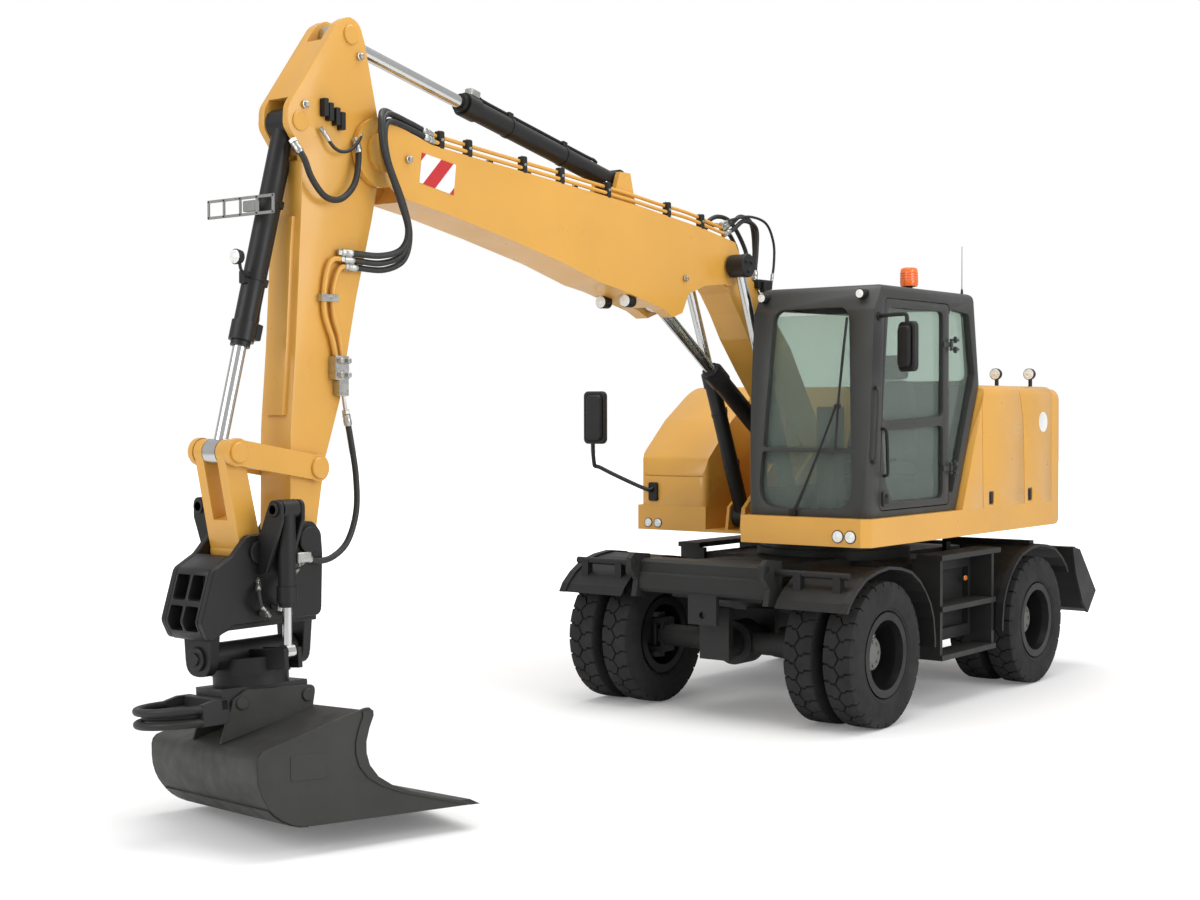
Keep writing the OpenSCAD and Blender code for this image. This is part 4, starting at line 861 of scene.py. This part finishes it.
valve += [turned([(0, 0.017), (0.028, 0.017), (0.030, 0.014)], (5.545 + dx, 0.043, 2.515 + dz), LEFT, 6)
          for dx in (-0.028, 0.028) for dz in (-0.04, 0.04)]
fittings["stick"] += valve + [turned([(0, 0.013), (0.10, 0.013)], (5.507, 0.006, 2.37), (-0.18, 0, -1), 6)]
blocks = [slab(round_box(0.034, 0.10, 0.006), (x, STICK_FACE, 3.965 - 0.02 * i), (-1, 0, 0), UP, 0.04)
          for i, x in enumerate((5.635, 5.595, 5.545, 5.505))]
piece("stick_plug_block", blocks, plastic, "stick")
tool_hose = [[(5.485, 0.006, 2.255), (5.455, 0.012, 2.10), (5.425, 0.02, 1.90), (5.435, 0.03, 1.70),
              (5.515, 0.04, 1.535), (5.640, 0.045, 1.455), (5.760, 0.045, 1.445), (5.860, 0.044, 1.475)]]
hose("tool_hose", tool_hose, 0.036, "stick", "hanger")

# Boom plate and pins: a red and white plate glued on each side of the boom, keeper bolts on the pins,
# black bolted caps over the lift cylinders' rod eyes, and two lamps under the boom.
stripes = finish_of("striped_plate", (0.80, 0.80, 0.78), 0.3, coat=0.4, patch=0.03)
t = stripes.node_tree
where, split = t.nodes.new("ShaderNodeTexCoord"), t.nodes.new("ShaderNodeSeparateXYZ")
t.links.new(where.outputs["Object"], split.inputs[0])


def figure(operation, *values):
    """One arithmetic node on numbers or other nodes' outputs."""
    n = t.nodes.new("ShaderNodeMath")
    n.operation = operation
    for i, v in enumerate(values):
        if isinstance(v, (int, float)):
            n.inputs[i].default_value = v
        else:
            t.links.new(v, n.inputs[i])
    return n.outputs[0]


along_plate = figure("ADD", figure("ADD", split.outputs["X"], split.outputs["Z"]), -8.365)
slant = figure("FRACT", figure("DIVIDE", along_plate, 0.27))
red_band = figure("LESS_THAN", slant, 0.46)
blend_red = t.nodes.new("ShaderNodeMix")
blend_red.data_type = "RGBA"
colours = [s for s in blend_red.inputs if s.type == "RGBA"]
colours[0].default_value, colours[1].default_value = (0.80, 0.80, 0.78, 1), (0.50, 0.012, 0.018, 1)
t.links.new(red_band, blend_red.inputs["Factor"])
t.links.new([s for s in blend_red.outputs if s.type == "RGBA"][0],
            t.nodes["Principled BSDF"].inputs["Base Color"])
corners = np.array([(4.876, 3.799), (4.582, 3.759), (4.603, 3.575), (4.901, 3.622)])
middle = corners.mean(0)
left_face, right_face = BOOM_Y + BOOM_HALF, BOOM_Y - BOOM_HALF
drawn = {1: (corners - middle) * (-1, 1), -1: (corners - middle)[::-1]}
plates = [slab(drawn[s], (middle[0], y, middle[1]), (-s, 0, 0), UP, 0.003, 0.001)
          for s, y in ((1, left_face), (-1, right_face))]
piece("striped_plates", plates, stripes, "upper_boom")

pins = {"upper_boom": [((2.166, 3.217), BOOM_HALF), ((4.997, 3.745), BOOM_HALF)],
        "stick": [((5.347, 4.294), STICK_HALF), ((5.769, 3.964), STICK_HALF)]}
for body, spots in pins.items():
    fittings[body] += [b for (x, z), half in spots for s in (1, -1)
                       for b in bolt((x, BOOM_Y + s * (half + 0.0142), z), (0, s, 0), 0.03)]
KNUCKLE = (1.571, 3.341)
caps = []
for s in (1, -1):
    y = BOOM_Y + s * 0.295
    caps += [turned([(0, 0.088), (0.030, 0.088), (0.036, 0.082), (0.036, 0.03), (0.033, 0.027),
                     (0.033, 0.005)], (KNUCKLE[0], y, KNUCKLE[1]), (0, s, 0), 40)]
    caps += [b for at in circle_of((KNUCKLE[0], y + s * 0.034, KNUCKLE[1]), 0.045, 3, "y", 0.6)
             for b in bolt(at, (0, s, 0), 0.018)]
piece("knuckle_caps", caps, black_paint, "lift_rods")
dress_where("lift_rods", lambda x, y, z: z > 3.255, black_paint)
lamps = [turned([(-0.095, 0.030), (-0.080, 0.044), (-0.004, 0.046), (0, 0.043)],
                (2.800, BOOM_Y + s * 0.105, 3.030), AHEAD, 32) for s in (1, -1)]
piece("boom_lamp_housings", lamps, plastic, "upper_boom")
piece("boom_lamp_lenses", [lens((2.800, BOOM_Y + s * 0.105, 3.030), AHEAD, 0.042) for s in (1, -1)],
      lens_glass, "upper_boom")

# Cylinder fittings: each barrel carries a steel pipe from its base to a port block at the gland, held by
# two straps; the bucket cylinder also carries a slotted guard bar and one small work lamp.


def along_barrel(base, tip, y, side, d, length, name, body):
    """Pipe, straps and gland bolts laid out from a cylinder's base pin towards its rod's pin, on one side of
    the barrel; the port block is returned."""
    base, tip = np.array((base[0], y, base[1])), np.array((tip[0], y, tip[1]))
    t = unit(tip - base)
    n = unit(np.cross(t, LEFT)) * side
    line = [base + t * s + n * h for s, h in ((0.20, 0.6 * d), (0.24, 0.5 * d + 0.022),
                                              (0.32, 0.5 * d + 0.018), (0.5 * length, 0.5 * d + 0.018),
                                              (length - 0.22, 0.5 * d + 0.018),
                                              (length - 0.14, 0.5 * d + 0.024), (length - 0.075, 0.58 * d))]
    steel_parts = [tube(smooth_path(line, 5), 0.011, 10)]
    for s in (0.36, 0.72):
        steel_parts.append(turned([(-0.012, 0.5 * d), (-0.012, 0.5 * d + 0.004), (0.012, 0.5 * d + 0.004),
                                   (0.012, 0.5 * d)], base + t * length * s, t, 40, True))
        steel_parts.append(slab(round_box(0.045, 0.036, 0.006), base + t * length * s + n * (0.5 * d + 0.001),
                                t, np.cross(n, t), 0.034))
    a = np.arange(12) * np.pi / 6
    m = np.cross(t, n)
    for c, s in zip(np.cos(a), np.sin(a)):
        steel_parts += bolt(base + t * (length - 0.014) + 0.5 * d * (c * n + s * m), c * n + s * m, 0.009)
    piece(name, steel_parts, black_paint, body)
    port_at = base + t * (length - 0.075) + n * 0.55 * d
    return slab(round_box(0.09, 0.06, 0.008), port_at, t, np.cross(n, t), 0.045, 0.004)


STICK_ROD, BUCKET_BASE, BUCKET_ROD = (5.411, 4.408), (5.800, 3.870), (6.284, 2.055)
stick_port = along_barrel((2.800, 3.850), STICK_ROD, BOOM_Y, 1, 0.130, 1.570, "stick_cylinder_pipe",
                          "stick_barrel")
piece("stick_cylinder_port", [stick_port], zinc, "stick_barrel")
bucket_port = along_barrel(BUCKET_BASE, BUCKET_ROD, BOOM_Y, -1, 0.120, 1.260, "bucket_cylinder_pipe",
                           "bucket_barrel")
piece("bucket_cylinder_port", [bucket_port], black_paint, "bucket_barrel")
for s in (1, -1):
    y = BOOM_Y + 0.24 * s
    tag = "left" if s > 0 else "right"
    port = along_barrel((0.765, 1.425), KNUCKLE, y, 1, 0.120, 1.230, "lift_pipe_" + tag, "lift_barrels")
    piece("lift_port_" + tag, [port], black_paint, "lift_barrels")

grey_steel = finish_of("galvanised_bar", (0.27, 0.27, 0.26), 0.45, metal=0.6, patch=0.1, patch_size=10)
bar_x, bar_z = 6.062, 3.388
guard = [slab(round_box(0.545, 0.016, 0.004), (bar_x, -0.205, bar_z + s * 0.045), LEFT, UP, 0.008, 0.002)
         for s in (1, -1)]
guard += [slab(round_box(0.018, 0.10, 0.004), (bar_x, -0.205 + dy, bar_z), LEFT, UP, 0.008, 0.002)
          for dy in (-0.264, -0.135, 0.0, 0.135, 0.264)]
guard += [slab(round_box(0.10, 0.06, 0.006), (bar_x - 0.03, BOOM_Y, bar_z), LEFT, UP, 0.031)]
piece("guard_bar", guard, grey_steel, "bucket_barrel")
work_at = np.array((6.215, -0.075, 3.10))
stalk = smooth_path([(6.05, -0.12, 3.00), (6.12, -0.10, 3.01), (6.17, -0.08, 3.03), (6.185, -0.075, 3.065)], 5)
work = [turned([(-0.045, 0.022), (-0.035, 0.036), (-0.006, 0.042), (0.0, 0.042), (0.004, 0.038)],
               work_at, AHEAD, 28), tube(stalk, 0.009, 8),
        slab(round_box(0.05, 0.07, 0.008), (6.085, BOOM_Y, 3.00), LEFT, UP, 0.03)]
piece("work_lamp", work, plastic, "bucket_barrel")
piece("work_lamp_lens", [lens(work_at + (0.004, 0, 0), AHEAD, 0.037)], lens_glass, "bucket_barrel")

# Tiltrotator fittings: short rubber hoses loop on the hanger's left plate between the swivel and the tilt
# cylinders and end in bright elbows. All zinc-plated unions and bolts of a body are then joined in one mesh.
PLATE_GAP, PLATE = 0.006, 0.040
PLATE_Y = BOOM_Y + STICK_HALF + PLATE_GAP + PLATE
short = [[(5.900, PLATE_Y + 0.012, 1.40), (5.98, PLATE_Y + 0.05, 1.375), (6.035, PLATE_Y + 0.065, 1.30),
          (6.06, PLATE_Y + 0.06, 1.22)],
         [(5.860, PLATE_Y + 0.012, 1.44), (5.94, PLATE_Y + 0.055, 1.43), (6.01, PLATE_Y + 0.085, 1.36),
          (6.025, PLATE_Y + 0.08, 1.26), (5.985, PLATE_Y + 0.05, 1.18)],
         [(6.17, PLATE_Y + 0.012, 1.36), (6.20, PLATE_Y + 0.05, 1.32), (6.20, PLATE_Y + 0.07, 1.24),
          (6.15, PLATE_Y + 0.06, 1.19)]]
hose("hanger_hoses", short, 0.022, "hanger", "hanger")
fittings["hanger"] += [turned([(0, 0.017), (0.05, 0.017)], r[-1], (0, -1, 0), 12) for r in short]
fittings["hanger"] += [slab(round_box(0.10, 0.055, 0.008), (5.865, PLATE_Y, 1.472), (-1, 0, 0), UP, 0.045,
                            0.004)]
for body, parts in fittings.items():
    if parts:
        piece("fittings_" + body, parts, zinc, body)

# Small panels: moulded amber side markers, clipped to the side boxes, and a black three-cornered plastic
# slab laid on the slope of the right body.
amber = finish_of("amber_marker", (0.85, 0.22, 0.012), 0.2, coat=0.8)
markers = [slab(round_box(0.055, 0.04, 0.015), (x, s * 1.0105, 0.93), (-s, 0, 0), UP, 0.012, 0.004)
           for x in (-0.33, 0.33) for s in (1, -1)]
piece("side_markers", markers, amber, "chassis")
slope = math.atan2(2.465 - 2.190, 0.620 - 0.200)
downhill, outward = (math.cos(slope), 0, -math.sin(slope)), (math.sin(slope), 0, math.cos(slope))
dark_triangle = np.array([(-0.086, -0.869), (-0.352, -0.941), (-0.086, -1.056)])
tri_mid = dark_triangle.mean(0)
along, over = tri_mid[0] * np.array(downhill), tri_mid[1] * np.array(LEFT)
at = np.array((0.620, 0, 2.190)) + along + over - 0.015 * np.array(outward)
piece("slope_dark_triangle", [slab((dark_triangle - tri_mid) * 0.93, at, downhill, LEFT, 0.012, 0.002)], plastic, "upper")

# Stick and linkage: a welded box of steel plate with rounded lugs, forked where the two cylinders are pinned.
# Steel pins with round keepers pass through it, and the rockers carry raised collars.


def disc(at, r, n=40):
    """Round outline about a point in millimetres."""
    a = np.linspace(0, 2 * np.pi, n, endpoint=False)
    return (np.asarray(at) + r * np.stack([np.cos(a), np.sin(a)], -1)) / 1000


STICK_LINE = [(5300, 4380), (5340, 4480), (5420, 4515), (5510, 4460), (5880, 3950), (5885, 3840),
              (5775, 3700), (5795, 3350), (5807, 3160), (5842, 2609), (5874, 2250), (5880, 2169),
              (5890, 1600), (5800, 1540), (5700, 1600), (5629, 1998), (5511, 2336), (5382, 2907),
              (5251, 3373), (5199, 3600), (5199, 3966)]
STICK_ROUND = (90, 90, 80, 110, 110, 80, 160, 0, 300, 300, 0, 0, 60, 0, 60, 400, 400, 900, 900, 200, 200)
stick_box = carved("stick_box", [prism(rounded(STICK_LINE, STICK_ROUND), "y", -262, -18)],
                   [("UNION", [prism(disc((5211, 3761), 135), "y", -262, -18)]),
                    ("UNION", [prism(disc((5800, 1562), 90), "y", -262, -18)]),
                    ("UNION", [prism(seam([(5796, 3350), (5813, 3160), (5848, 2609), (5878, 2250)], 44), "y",
                                     -215, -65)]),
                    ("DIFFERENCE", [prism(rounded([(5200, 4280), (5540, 4280), (5700, 4600), (5200, 4600)]),
                                          "y", -201, -79)]),
                    ("DIFFERENCE", [prism(rounded([(5690, 3710), (5950, 3560), (5950, 4000), (5690, 4000)]),
                                          "y", -216, -64)])], yellow, "stick", 0.006)
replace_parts(stick_box, "stick")
ROCKER = (5.707, 1.957)
pin_end = [(0, 0.034), (0.004, 0.036), (0.042, 0.036), (0.046, 0.031)]
pins = [turned([(0, r), (length, r)], (x, y, z), LEFT, 32)
        for (x, z), r, y, length in ((BUCKET_BASE, 0.036, -0.262, 0.244), (STICK_ROD, 0.034, -0.262, 0.244))]
for s in (1, -1):
    pins += [turned(pin_end, (ROCKER[0], BOOM_Y + s * 0.121, ROCKER[1]), (0, s, 0), 32)]
    pins += [turned([(0, 0.055), (0.010, 0.055), (0.014, 0.050), (0.014, 0.03)], (x, BOOM_Y + s * 0.121, z),
                    (0, s, 0), 36) for x, z in (BUCKET_BASE, STICK_ROD)]
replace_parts(piece("stick_pins", pins, yellow, "stick"), "stick")
collars = [turned([(0, 0.060), (0.012, 0.060), (0.017, 0.055), (0.017, 0.037)],
                  (ROCKER[0], BOOM_Y + s * 0.161, ROCKER[1]), (0, s, 0), 36) for s in (1, -1)]
collars += [turned([(0, 0.056), (0.014, 0.056), (0.019, 0.050), (0.019, 0.02)],
                   (BUCKET_ROD[0], BOOM_Y + s * 0.161, BUCKET_ROD[1]), (0, s, 0), 36) for s in (1, -1)]
piece("rocker_collars", collars, yellow, "rockers")

# Tiltrotator hanger: two flame-cut side plates with pin bosses, a pocketed front guard, brackets for the tilt
# cylinders and two bearing plates for the tilt axis, all welded, and hung on the stick and link by two pins.
GUARD = [(6330, 1510), (6460, 1440), (6545, 1170), (6490, 1060), (6330, 1110)]
HANGER = rounded([(5690, 1480), (5700, 1600), (5760, 1665), (5840, 1665), (5920, 1560), (6060, 1540),
                  (6095, 1612), (6230, 1612), GUARD[0], GUARD[1], GUARD[2], GUARD[3], (6330, 1140),
                  (5700, 1140)], (60, 70, 60, 60, 60, 60, 50, 60, 80, 60, 50, 40, 40, 50))
ROTOR_X, TILT_Z, TILT_TOP = 6.08, 0.96, 1.75
TILT_AXIS = (ROTOR_X, BOOM_Y, TILT_Z)
STICK_PIN, LINK_PIN = (5.800, 1.562), (6.164, 1.520)
BOSSES = ((STICK_PIN, 0.075, 0.022), (LINK_PIN, 0.060, 0.018))
welded = []
for s in (1, -1):
    inner = BOOM_Y + s * (STICK_HALF + PLATE_GAP)
    welded += [slab(HANGER, (0, max(inner, inner + s * PLATE), 0), AHEAD, UP, PLATE, 0.005)]
    welded += [turned([(0, r), (t, r), (t + 0.004, r - 0.005), (t + 0.004, 0.03)],
                      (x, inner + s * 0.039, z), (0, s, 0), 36) for (x, z), r, t in BOSSES]
    arm = rounded([(0, 1400), (70, 1400), (190, 1690), (190, 1800), (100, 1800), (30, 1640), (0, 1600)],
                  (0, 40, 50, 45, 45, 40, 0))
    arm = np.stack([inner + s * PLATE + s * arm[:, 0], arm[:, 1]], -1)[::s]
    welded += [slab(arm, (ROTOR_X + x, 0, 0), LEFT, UP, 0.026, 0.004) for x in (-0.087, 0.061)]
    welded += [turned([(-0.10, 0.02), (-0.10, 0.025), (0.10, 0.025), (0.10, 0.02)],
                      (ROTOR_X, BOOM_Y + s * 0.305, TILT_TOP), AHEAD, 24),
               turned([(0.086, 0.039), (0.097, 0.039), (0.100, 0.035)],
                      (ROTOR_X, BOOM_Y + s * 0.305, TILT_TOP), AHEAD, 28)]
welded += [slab(round_box(0.65, 0.256, 0.01), (6.025, BOOM_Y, 1.11), AHEAD, LEFT, 0.22, 0.004)]
bearing = rounded([(-235, 865), (-45, 865), (-20, 1170), (-260, 1170)], (90, 90, 0, 0))
welded += [slab(bearing, (ROTOR_X + x, 0, 0), LEFT, UP, 0.06, 0.004) for x in (-0.356, 0.296)]
welded += [turned([(-0.35, 0.036), (-0.35, 0.04), (0.35, 0.04), (0.35, 0.036)], TILT_AXIS, AHEAD, 32),
           turned([(0.355, 0.065), (0.370, 0.065), (0.374, 0.060), (0.374, 0.035), (0.384, 0.033)],
                  TILT_AXIS, AHEAD, 32)]
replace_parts(piece("hanger_plates", welded, black_paint, "hanger"), "tilt_hanger")
guard_pockets = [prism(rounded(box(y, z, y + 102, z + 130), 14), "x", 6400, 6800)
                 for y in (-252, -130) for z in (1120, 1280)]
guard = carved("hanger_guard", [prism(rounded(GUARD, (0, 60, 50, 40, 0)), "y", -268, -12)],
               [("DIFFERENCE", guard_pockets)], black_paint, "hanger", 0.004)
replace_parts(guard, "tilt_hanger")
tool_pins = [turned([(-0.172, r - 0.004), (-0.172, r), (0.172, r), (0.172, r - 0.004)],
                    (x, BOOM_Y, z), LEFT, 32) for (x, z), r in ((STICK_PIN, 0.04), (LINK_PIN, 0.035))]
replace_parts(piece("hanger_pins", tool_pins, bright_steel, "hanger"), "tilt_hanger")

# Bucket and gripper: bent and welded plate with a round heel, scooped sides, cutters and coupler ears, hooked
# on the coupler. The gripper's claws are bent bars on a cross beam at the coupler's outer end.


def spun(angle, axis):
    """Rotation matrix about X, Y or Z by an angle in degrees."""
    c, s = math.cos(math.radians(angle)), math.sin(math.radians(angle))
    i, j = {"x": (1, 2), "y": (2, 0), "z": (0, 1)}[axis]
    m = np.eye(3)
    m[i, i], m[i, j], m[j, i], m[j, j] = c, -s, s, c
    return m


HEAD = spun(5, "x") @ spun(-16, "z")
PIVOT = np.array(TILT_AXIS)


def on_rotor(shells, drop=0.0, pitch=0.0):
    """Shells drawn about the tilt axis, lowered and pitched, then turned and tilted with the rotor."""
    lean = spun(pitch, "y")
    return [(PIVOT + (np.array((0, 0, -drop)) + p @ lean.T) @ HEAD.T, f) for p, f in shells]


LIP, BACK, HEEL, HALF = -970.0, 330.0, 290.0, 0.7
bend = np.radians(np.arange(-90, 1, 10))


def bucket_path(o):
    """Profile from the lip over the floor, round the heel and up the back to the top edge, drawn in by o
    millimetres."""
    arc = np.stack([BACK - HEEL + (HEEL - o) * np.cos(bend), HEEL + (HEEL - o) * np.sin(bend)], -1)
    top = [(BACK - o, 350), (BACK - 8 - o, 380), (BACK - 30 - 0.9 * o, 402 - 0.5 * o),
           (-240 - 0.3 * o, 560 - o), (-262, 566 - o)]
    return np.concatenate([[(LIP + 4 * o, o)], arc, top])


def across(outline, y0, y1, bevel=0.002):
    """Plate of an outline in X and Z between two places across the machine."""
    return slab(outline, (0, y1, 0), AHEAD, UP, y1 - y0, bevel)


skin = rounded(np.concatenate([bucket_path(0), bucket_path(16)[::-1]]))
scoop = [(-150, 535), (-285, 573), (-312, 574), (-330, 558), (-331, 530), (-305, 470), (-285, 400),
         (-284, 340), (-302, 275), (-350, 212), (-430, 160), (-540, 115), (-680, 75), (-830, 35), (LIP, 0)]
cheek = rounded(np.concatenate([bucket_path(0)[1:-2], scoop]))
cutter = rounded(np.concatenate([scoop[3:], (np.array(scoop[3:]) + (62, 0))[::-1]]))
ear = rounded([(-238, 555), (-262, 680), (150, 680), (225, 630), (300, 405)], (0, 40, 50, 40, 0))
lip_bar = rounded([(LIP, 0), (LIP + 60, 30), (LIP + 200, 30), (LIP + 212, 15), (LIP + 212, 0)])
plates = [across(skin, -HALF, HALF), across(lip_bar, -HALF, HALF)]
heel = rounded(np.concatenate([bucket_path(-8)[1:7], bucket_path(1)[6:0:-1]]))
plates += [across(heel, -HALF + 0.03, HALF - 0.03)]
for s in (1, -1):
    spans = [sorted((s * a, s * b)) for a, b in ((HALF - 0.016, HALF + 0.0005), (HALF, HALF + 0.010),
                                                 (0.170, 0.195), (HALF, HALF + 0.004))]
    plates += [across(cheek, *spans[0]), across(cutter, *spans[1]), across(ear, *spans[2])]
    plates += [across(round_box(0.20, 0.13, 0.012) + (0.05, 0.30), *spans[3], 0.0015)]
    plates += [turned([(0, 0.035), (0.010, 0.035), (0.013, 0.031)], (x, s * 0.194, z), (0, s, 0), 28)
               for x, z in ((-0.21, 0.625), (0.175, 0.61))]
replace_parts(piece("bucket_plates", on_rotor(plates, 0.868, -2.5), bucket_steel, "rotor"),
            "bucket")
bars = [slab(round_box(0.05, 0.524, 0.008), (0.275, 0, -0.27), AHEAD, LEFT, 0.06, 0.005)]
for s in (1, -1):
    low, high = sorted((s * 0.218, s * 0.262))
    bars += [across(rounded([(250, -342), (400, -342), (400, -228), (330, -210), (250, -210)],
                            (30, 0, 0, 30, 0)), low, high, 0.004)]
sweep = np.radians(np.linspace(-90, 90, 33))
for r, z in ((0.24, -0.25), (0.24, -0.32), (0.195, -0.285)):
    path = np.stack([0.40 + r * np.cos(sweep), r * np.sin(sweep), np.full_like(sweep, z)], -1)
    path = np.concatenate([[(0.30, -r, z)], path, [(0.30, r, z)]])
    bars.append(tube(path, 0.022, 14))
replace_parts(piece("gripper_bars", on_rotor(bars), dark_paint, "rotor"), "gripper")
